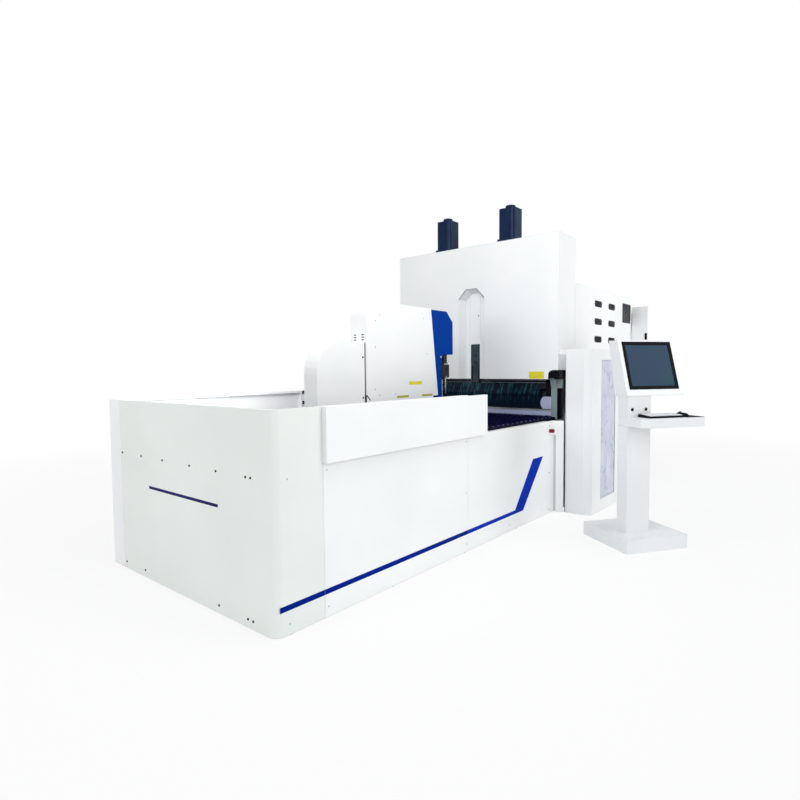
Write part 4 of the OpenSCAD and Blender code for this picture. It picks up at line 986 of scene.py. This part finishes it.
@dataclass
class PressTrim(Trim):
    """Plate, seams and screws on the press, and the fittings of its lift motors.

    Args:
        film: thickness of the side plate.
        plate: the side plate's ends on X and its edges on Z.
        seams: left edges of the niche's two seams.
        seam_w: their width.
        seam_ends: their lower and upper ends.
        niche: depth of the niche.
        niche_screw: place on X and Z of the screw in its back.
        wall_plugs: place on X, then heights, of the plugs in its slanted wall.
        arch: places on X and Z of the corners of the niche's bevelled top.
        arch_w: width of its painted shadow line.
        motor_inset: from a motor's outer side to its middle.
        motor_y: the motors' middle on Y.
        flange_reach: from a motor's middle to its flange screws.
        ledges: heights of the clamp strip's ledges.
        bushes: heights of the centre rod's screws.
        rod_gap: half the width that the ledges leave free at the rod.
    """

    film: float = 0.0012
    plate: tuple[Pair, Pair] = ((0.653, 0.808), (1.241, 1.309))
    seams: Pair = (-0.062, 0.061)
    seam_w: float = 0.0016
    seam_ends: Pair = (1.612, 2.088)
    niche: float = 0.08
    niche_screw: Pair = (0.041, 1.888)
    wall_plugs: tuple[float, tuple[float, ...]] = (0.133, (1.36, 1.66, 1.96))
    arch: tuple[Pair, ...] = ((-0.155, 2.066), (-0.065, 2.161), (0.065, 2.161), (0.155, 2.066))
    arch_w: float = 0.005
    motor_inset: float = 0.098
    motor_y: float = 0.010
    flange_reach: float = 0.087
    ledges: Pair = (1.1985, 1.2220)
    bushes: Pair = (1.406, 1.475)
    rod_gap: float = 0.057

    def build(self) -> None:
        """Makes the press's trim."""
        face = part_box("press_front_cover")[0][1]
        back = face + self.niche
        (x0, x1), (z0, z1) = self.plate
        outline = rounded(((x0 + x1) / 2, (z0 + z1) / 2), ((x1 - x0) / 2, (z1 - z0) / 2), 0.008)
        plate = sheet("side_plate", [(x, face, z) for x, z in outline], (0, -self.film, 0))
        self.fit(plate, "yellow_vinyl")
        for number, x in enumerate(self.seams, 1):
            seam = slab(f"niche_seam_{number}", (x, x + self.seam_w), (back - 0.0004, back), self.seam_ends)
            self.fit(seam, "seams_and_painted_light_grey")
        x, z = self.niche_screw
        self.screws("niche_screws", [(x, back, z)], Side.FRONT)
        x, heights = self.wall_plugs
        spots = [(x, face + self.niche / 2, z) for z in heights]
        self.screws("niche_wall_plugs", spots, Side.NICHE_WALL, radius=0.006, height=0.0015,
                    finish="plug_grey")
        self.arch_shadow(face)
        self.motors()
        self.rod_bushes()
        self.clamp_highlights()

    def arch_shadow(self, face: float) -> None:
        """A painted shadow line along the niche's bevelled top.

        Args:
            face: the cover's front face on Y.
        """
        (x0, z0), (x1, z1) = self.arch[:2]
        width, half = self.arch_w, self.arch_w / 2
        inner = ((x0 + width, z0 - half), (x1 + half, z1 - width),
                 (-x1 - half, z1 - width), (-x0 - width, z0 - half))
        for number in range(3):
            around = (self.arch[number], self.arch[number + 1], inner[number + 1], inner[number])
            outline = [(x, face + 0.0005, z) for x, z in around]
            self.fit(sheet(f"niche_shadow_line_{number + 1}", outline, (0, 0.0015, 0)), "niche_shadow_grey")

    def motors(self) -> None:
        """Flange screws and a cap seam ring on each lift motor."""
        low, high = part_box("lift_motors")
        centre, reach = high[0] - self.motor_inset, (-self.flange_reach, self.flange_reach)
        spots = [(sign * centre + dx, self.motor_y + dy, low[2] + 0.026)
                 for sign in (-1, 1) for dx in reach for dy in reach]
        self.screws("motor_screws", spots, Side.UP, radius=0.0065, height=0.006)
        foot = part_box("motor_caps")[0][2]
        ring = [(0.0497, 0.012), (0.0522, 0.012), (0.0522, 0.017), (0.0497, 0.017), (0.0497, 0.012)]
        for number, sign in enumerate((-1, 1), 1):
            place = Matrix.Translation((sign * centre, self.motor_y, foot))
            self.fit(lathe(f"cap_ring_{number}", ring, place, 64, False), "dark_paint", "motor_paint")

    def rod_bushes(self) -> None:
        """Dark rims round the two sunk screws of the centre rod."""
        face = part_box("centre_rod")[0][1]
        ring = [(0.0115, 0.0), (0.0148, 0.0), (0.0148, 0.0008), (0.0115, 0.0008), (0.0115, 0.0)]
        for number, height in enumerate(self.bushes, 1):
            place = Matrix.Translation((0.0, face, height)) @ turn(90, "X")
            rim = lathe(f"rod_rim_{number}", ring, place, 40, False)
            self.fit(rim, "dark_paint", "mech_paint", "centre_slider")

    def clamp_highlights(self) -> None:
        """Pale lines on the edges of the clamp strip's two ledges, on both sides of the centre rod: painted
        highlight where the edges catch the light.
        """
        low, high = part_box("tool_clamp_strip")
        for number, height in enumerate(self.ledges, 1):
            for sign, x0, x1 in (("left", low[0] + 0.002, -self.rod_gap),
                                 ("right", self.rod_gap, high[0] - 0.002)):
                # Pale line along a ledge edge: painted highlight
                line = slab(f"ledge_highlight_{number}_{sign}", (x0, x1), (low[1] - 0.0008, low[1] + 0.0006),
                            (height, height + 0.0028))
                self.fit(line, "seams_and_painted_light_grey", "machine_steel", "blankholder")


@dataclass
class RearTrim(Trim):
    """Locks, cable gland, vent rims and wall screws of the enclosure and the cabinet.

    Args:
        locks: heights of the rear door's locks.
        gland: the cable gland's place on X and Z.
        vents: places on Y and on Z of the small side openings.
        vent_shape: half size, corner radius and rim width of the small openings.
        hatch: the large side opening's place on Y and Z.
        hatch_shape: its half size, corner radius and rim width.
        wall_screws: heights of the rear wall's screws.
    """

    locks: Pair = (0.45, 1.62)
    gland: Pair = (0.271, 0.22)
    vents: tuple[tuple[float, ...], tuple[float, ...]] = ((0.868, 1.275), (1.640, 1.826, 2.012))
    vent_shape: tuple[Pair, float, float] = ((0.097, 0.0275), 0.020, 0.006)
    hatch: Pair = (1.776, 1.975)
    hatch_shape: tuple[Pair, float, float] = ((0.140, 0.107), 0.008, 0.005)
    wall_screws: tuple[float, ...] = (0.08, 0.6, 1.1, 1.6, 2.1)

    def build(self) -> None:
        """Makes the rear's trim."""
        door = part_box("rear_door")
        rearward = turn(-90, "X")
        lock = [(0.0, 0.0), (0.016, 0.0), (0.016, 0.004), (0.0135, 0.006), (0.006, 0.006), (0.006, 0.003),
                (0.0, 0.003)]
        for number, height in enumerate(self.locks, 1):
            place = Matrix.Translation((door[1][0] - 0.05, door[0][1] + 0.0197, height)) @ rearward
            piece = lathe(f"rear_lock_{number}", lock, place, 32, False)
            self.fit(piece, "screw_zinc", body="rear_door_leaf")
        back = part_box("cabinet_shell")[1][1]
        x, z = self.gland
        gland = [(0.0255, 0.0), (0.034, 0.0), (0.034, 0.010), (0.030, 0.014), (0.030, 0.024), (0.0255, 0.024),
                 (0.0255, 0.0)]
        place = Matrix.Translation((x, back, z)) @ rearward
        self.fit(lathe("cable_gland", gland, place, 6, False), "rubber_and_shadow_black")
        spots = [(x + dx, back, z + dz) for dx in (-0.05, 0.05) for dz in (-0.03, 0.03)]
        self.screws("gland_screws", spots, Side.REAR, radius=0.0045, height=0.003, finish="screw_zinc")
        self.vent_rims()
        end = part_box("rear_enclosure")[1][1]
        spots = [(x, end, z) for x in (-0.93, 0.93) for z in self.wall_screws]
        self.screws("rear_wall_screws", spots, Side.REAR, radius=0.006, height=0.003, finish="screw_zinc")

    def vent_rims(self) -> None:
        """Dark rims with round corners round the openings of the right side."""
        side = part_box("rear_side_right")[1][0]
        sunk, proud = side - 0.0005, side + 0.002
        openings = [((y, z), *self.vent_shape) for y in self.vents[0] for z in self.vents[1]]
        openings.append((self.hatch, *self.hatch_shape))
        mesh = bmesh.new()
        for middle, (wide, tall), radius, reach in openings:
            rings = []
            for grow, x in ((0.0, sunk), (0.0, proud), (reach - 0.002, proud), (reach, sunk)):
                outline = rounded(middle, (wide + grow, tall + grow), radius + grow)
                rings.append([mesh.verts.new((x, y, z)) for y, z in outline])
            for inner, outer in zip(rings, rings[1:] + rings[:1]):
                for step in range(len(inner)):
                    after = (step + 1) % len(inner)
                    mesh.faces.new((inner[step], inner[after], outer[after], outer[step]))
        self.fit(mesh_piece("vent_rims", mesh), "dark_paint")


@dataclass
class GuardTrim(Trim):
    """Grey strips round the guard's window that paint the shadow at the opening's edges.

    Args:
        edge: width of the strips of painted shadow.
        overlap: how far the window's sheet reaches past its opening.
    """

    edge: float = 0.003
    overlap: float = 0.015

    def build(self) -> None:
        """Makes the strips of painted shadow at the window's edges."""
        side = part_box("guard_box")[1][0]
        low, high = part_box("guard_window")
        y0, y1 = low[1] + self.overlap, high[1] - self.overlap
        z0, z1 = low[2] + self.overlap, high[2] - self.overlap
        bars = (("front", (y0, y0 + self.edge), (z0, z1)), ("rear", (y1 - self.edge, y1), (z0, z1)),
                ("top", (y0, y1), (z1 - self.edge, z1)), ("bottom", (y0, y1), (z0, z0 + self.edge)))
        for name, y, z in bars:
            strip = slab(f"window_edge_shadow_{name}", (side - 0.004, side - 0.001), y, z, edge=0.0008)
            self.fit(strip, "seams_and_painted_light_grey")


@dataclass
class ConsoleTrim(Trim):
    """Mat, grommets, mouse wheel and rear cover of the operator console.

    Args:
        centre: the console's place on X and Y.
        heading: how far its front is turned from -Y, in degrees.
        mat: the mouse mat's ends on X and on Y, in the console's own frame like what follows.
        holes: places on X of the post's two cable holes.
        hole_face: their place on Y and their height.
        wheel: the mouse wheel's place on X and Y and its height above the tray.
        cover: the rear cover's ends on X, Y and Z.
        cover_screws: places on X and heights of its screws.
    """

    centre: Pair = (1.788, -0.610)
    heading: float = 55.4
    mat: tuple[Pair, Pair] = ((0.236, 0.378), (-0.279, -0.112))
    holes: Pair = (-0.110, 0.009)
    hole_face: Pair = (-0.107, 1.029)
    wheel: Vec = (0.262, -0.170, 0.0265)
    cover: tuple[Pair, Pair, Pair] = ((-0.125, 0.027), (0.0005, 0.0025), (0.235, 0.865))
    cover_screws: tuple[Pair, Vec] = ((-0.115, 0.017), (0.25, 0.55, 0.85))

    def place(self) -> Matrix:
        """The console's own frame: +X along its front to the right, -Y out of its front."""
        return Matrix.Translation((*self.centre, 0.0)) @ turn(self.heading, "Z")

    def build(self) -> None:
        """Makes the console's trim."""
        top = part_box("console_tray")[1][2]
        mat = slab("mouse_mat", *self.mat, (top, top + 0.0025), edge=0.0008)
        mat.data.transform(self.place())
        self.fit(mat, "rubber_and_shadow_black")
        rim = [(0.0, 0.0), (0.0125, 0.0), (0.0125, 0.001), (0.0105, 0.0028), (0.0075, 0.0028),
               (0.006, 0.0012), (0.0, 0.0012)]
        for number, x in enumerate(self.holes, 1):
            place = self.place() @ Matrix.Translation((x, *self.hole_face)) @ turn(90, "X")
            self.fit(lathe(f"cable_grommet_{number}", rim, place, 32), "rubber_and_shadow_black")
        wheel = [(0.0, -0.0035), (0.009, -0.0035), (0.0105, -0.002), (0.0105, 0.002), (0.009, 0.0035),
                 (0.0, 0.0035)]
        x, y, rise = self.wheel
        place = self.place() @ Matrix.Translation((x, y, top + rise)) @ turn(90, "Y")
        self.fit(lathe("mouse_wheel", wheel, place, 24), "rubber_and_shadow_black")
        self.rear_cover()

    def rear_cover(self) -> None:
        """Cover plate over the opening in the post's rear, with its screws."""
        cover = slab("post_cover", *self.cover, edge=0.0006)
        cover.data.transform(self.place())
        # The cover takes the console's darker white, which is painted shade
        self.fit(cover, "console_painted_shade")
        (columns, heights), face = self.cover_screws, self.cover[1][1]
        spots = [tuple(self.place() @ Vector((x, face, z))) for x in columns for z in heights]
        tilt = (turn(self.heading, "Z") @ turn(-90, "X")).to_euler()
        self.screws("post_screws", spots, Side.UP, radius=0.005, height=0.0025, finish="screw_zinc",
                    tilt=tuple(tilt))


@dataclass
class Studio:
    """Floor, lamps, background and camera.

    Args:
        floor_size: the floor's side.
        floor_color: its colour.
        floor_glow: how much of the floor's look near the machine is plain white.
        floor_fade: distances from the middle between which that grows to all of it.
        world_light: the background's strength as a light.
        lamps: name, place, target, side in metres and power in watts of each: broad lights from the
            operator's side, low and in front, then small ones for the wells that they don't reach.
        camera_place: where the camera stands.
        camera_right: its right.
        camera_up: its up.
        camera_look: where it looks.
        focal: focal length, in a measure that makes the picture frame_width wide.
        frame_width: the picture's width in that measure.
        sensor: sensor width in millimetres.
    """

    floor_size: float = 60.0
    floor_color: Color = (0.86, 0.87, 0.88)
    floor_glow: float = 0.8
    floor_fade: Pair = (2.5, 8.0)
    world_light: float = 0.6
    lamps: tuple[tuple[str, Vec, Vec, float, float], ...] = (
        ("side", (10.0, 2.0, 4.5), (0.5, 0.0, 1.2), 5.0, 300.0),
        ("low", (7.0, -8.0, 1.6), (0.6, -1.0, 1.0), 4.0, 90.0),
        ("front", (-2.5, -14.0, 4.5), (0.0, -0.5, 1.4), 6.0, 318.0),
        ("well", (1.3, -2.6, 3.2), (-0.4, -1.5, 1.0), 1.5, 31.0),
        ("wall", (-0.16, -2.7, 1.2), (-0.93, -2.7, 0.95), 0.9, 9.5),
        ("wing", (2.2, 1.2, 2.0), (1.15, 1.95, 1.8), 0.5, 2.6))
    camera_place: Vec = (3.1152, -5.0049, 1.3453)
    camera_right: Vec = (0.76753644, 0.64095197, -0.00826953)
    camera_up: Vec = (-0.0297207, 0.04847145, 0.99838229)
    camera_look: Vec = (-0.64031594, 0.76604901, -0.05625315)
    focal: float = 553.03
    frame_width: int = 800
    sensor: float = 36.0

    def build(self) -> None:
        """Makes the whole setting."""
        bpy.context.scene.view_settings.view_transform = "Standard"
        self.floor()
        self.world()
        self.light()
        self.camera()

    def floor(self) -> None:
        """A pale floor that looks white to the camera and keeps the shadow."""
        half = self.floor_size / 2
        data = bpy.data.meshes.new("floor")
        corners = [(-half, -half, 0), (half, -half, 0), (half, half, 0), (-half, half, 0)]
        data.from_pydata(corners, [], [(0, 1, 2, 3)])
        floor = bpy.data.objects.new("floor", data)
        bpy.context.scene.collection.objects.link(floor)
        shader = Shader("studio_floor")
        matt = shader.add("ShaderNodeBsdfDiffuse", {"Color": self.floor_color})
        glow = shader.add("ShaderNodeEmission", {"Color": WHITE, "Strength": 1.0})
        rays = shader.add("ShaderNodeLightPath").outputs
        seen = shader.math("MAXIMUM", rays["Is Camera Ray"], rays["Is Glossy Ray"])
        reach = shader.add("ShaderNodeVectorMath", {0: shader.coordinates}, operation="LENGTH")
        fade = shader.spread(reach.outputs["Value"], self.floor_glow, 1.0, *self.floor_fade)
        mixed = shader.add("ShaderNodeMixShader", {
            0: shader.math("MULTIPLY", fade, seen), 1: matt.outputs[0], 2: glow.outputs[0]})
        floor.data.materials.append(shader.finish(mixed.outputs[0]))

    def world(self) -> None:
        """White to the camera and to reflections, softer as a light."""
        world = bpy.data.worlds.new("studio")
        bpy.context.scene.world = world
        world.use_nodes = True
        tree = NodeTree(world.node_tree)
        rays = tree.add("ShaderNodeLightPath").outputs
        seen = tree.math("MAXIMUM", rays["Is Glossy Ray"], rays["Is Transmission Ray"])
        seen = tree.math("MAXIMUM", rays["Is Camera Ray"], seen)
        strength = tree.add("ShaderNodeMapRange", {"Value": seen, "To Min": self.world_light, "To Max": 1.0})
        background = world.node_tree.nodes["Background"].inputs
        tree.feed(background["Color"], WHITE)
        tree.feed(background["Strength"], strength.outputs["Result"])

    def light(self) -> None:
        """Square area lamps that the camera doesn't see."""
        for name, place, target, size, power in self.lamps:
            data = bpy.data.lights.new(name, "AREA")
            data.size = size
            data.energy = power
            lamp = bpy.data.objects.new(name, data)
            lamp.location = place
            lamp.visible_camera = False
            lamp.rotation_euler = (Vector(target) - Vector(place)).to_track_quat("-Z", "Y").to_euler()
            bpy.context.scene.collection.objects.link(lamp)

    def camera(self) -> None:
        """The camera at the front right of the machine."""
        data = bpy.data.cameras.new("camera")
        data.sensor_width = self.sensor
        data.lens = self.focal * self.sensor / self.frame_width
        data.clip_end = 200.0
        camera = bpy.data.objects.new("camera", data)
        back = [-value for value in self.camera_look]
        matrix = Matrix.Identity(4)
        for column, values in enumerate((self.camera_right, self.camera_up, back, self.camera_place)):
            for row in range(3):
                matrix[row][column] = values[row]
        camera.matrix_world = matrix
        bpy.context.scene.collection.objects.link(camera)
        bpy.context.scene.camera = camera


def main() -> None:
    """Dresses the frame, adds the trim and sets the studio."""
    logging.basicConfig(level=logging.INFO, format="%(name)s: %(message)s")
    palette = Palette(FINISHES)
    LOG.info("%d CAD nodes dressed", palette.dress(frame["nodes"], frame["record"]))
    Studio().build()
    for group in (FenceTrim, LoadingTable, ManipulatorTrim, PressTrim, RearTrim, GuardTrim, ConsoleTrim):
        group(palette).build()


if __name__ == "__main__":
    main()
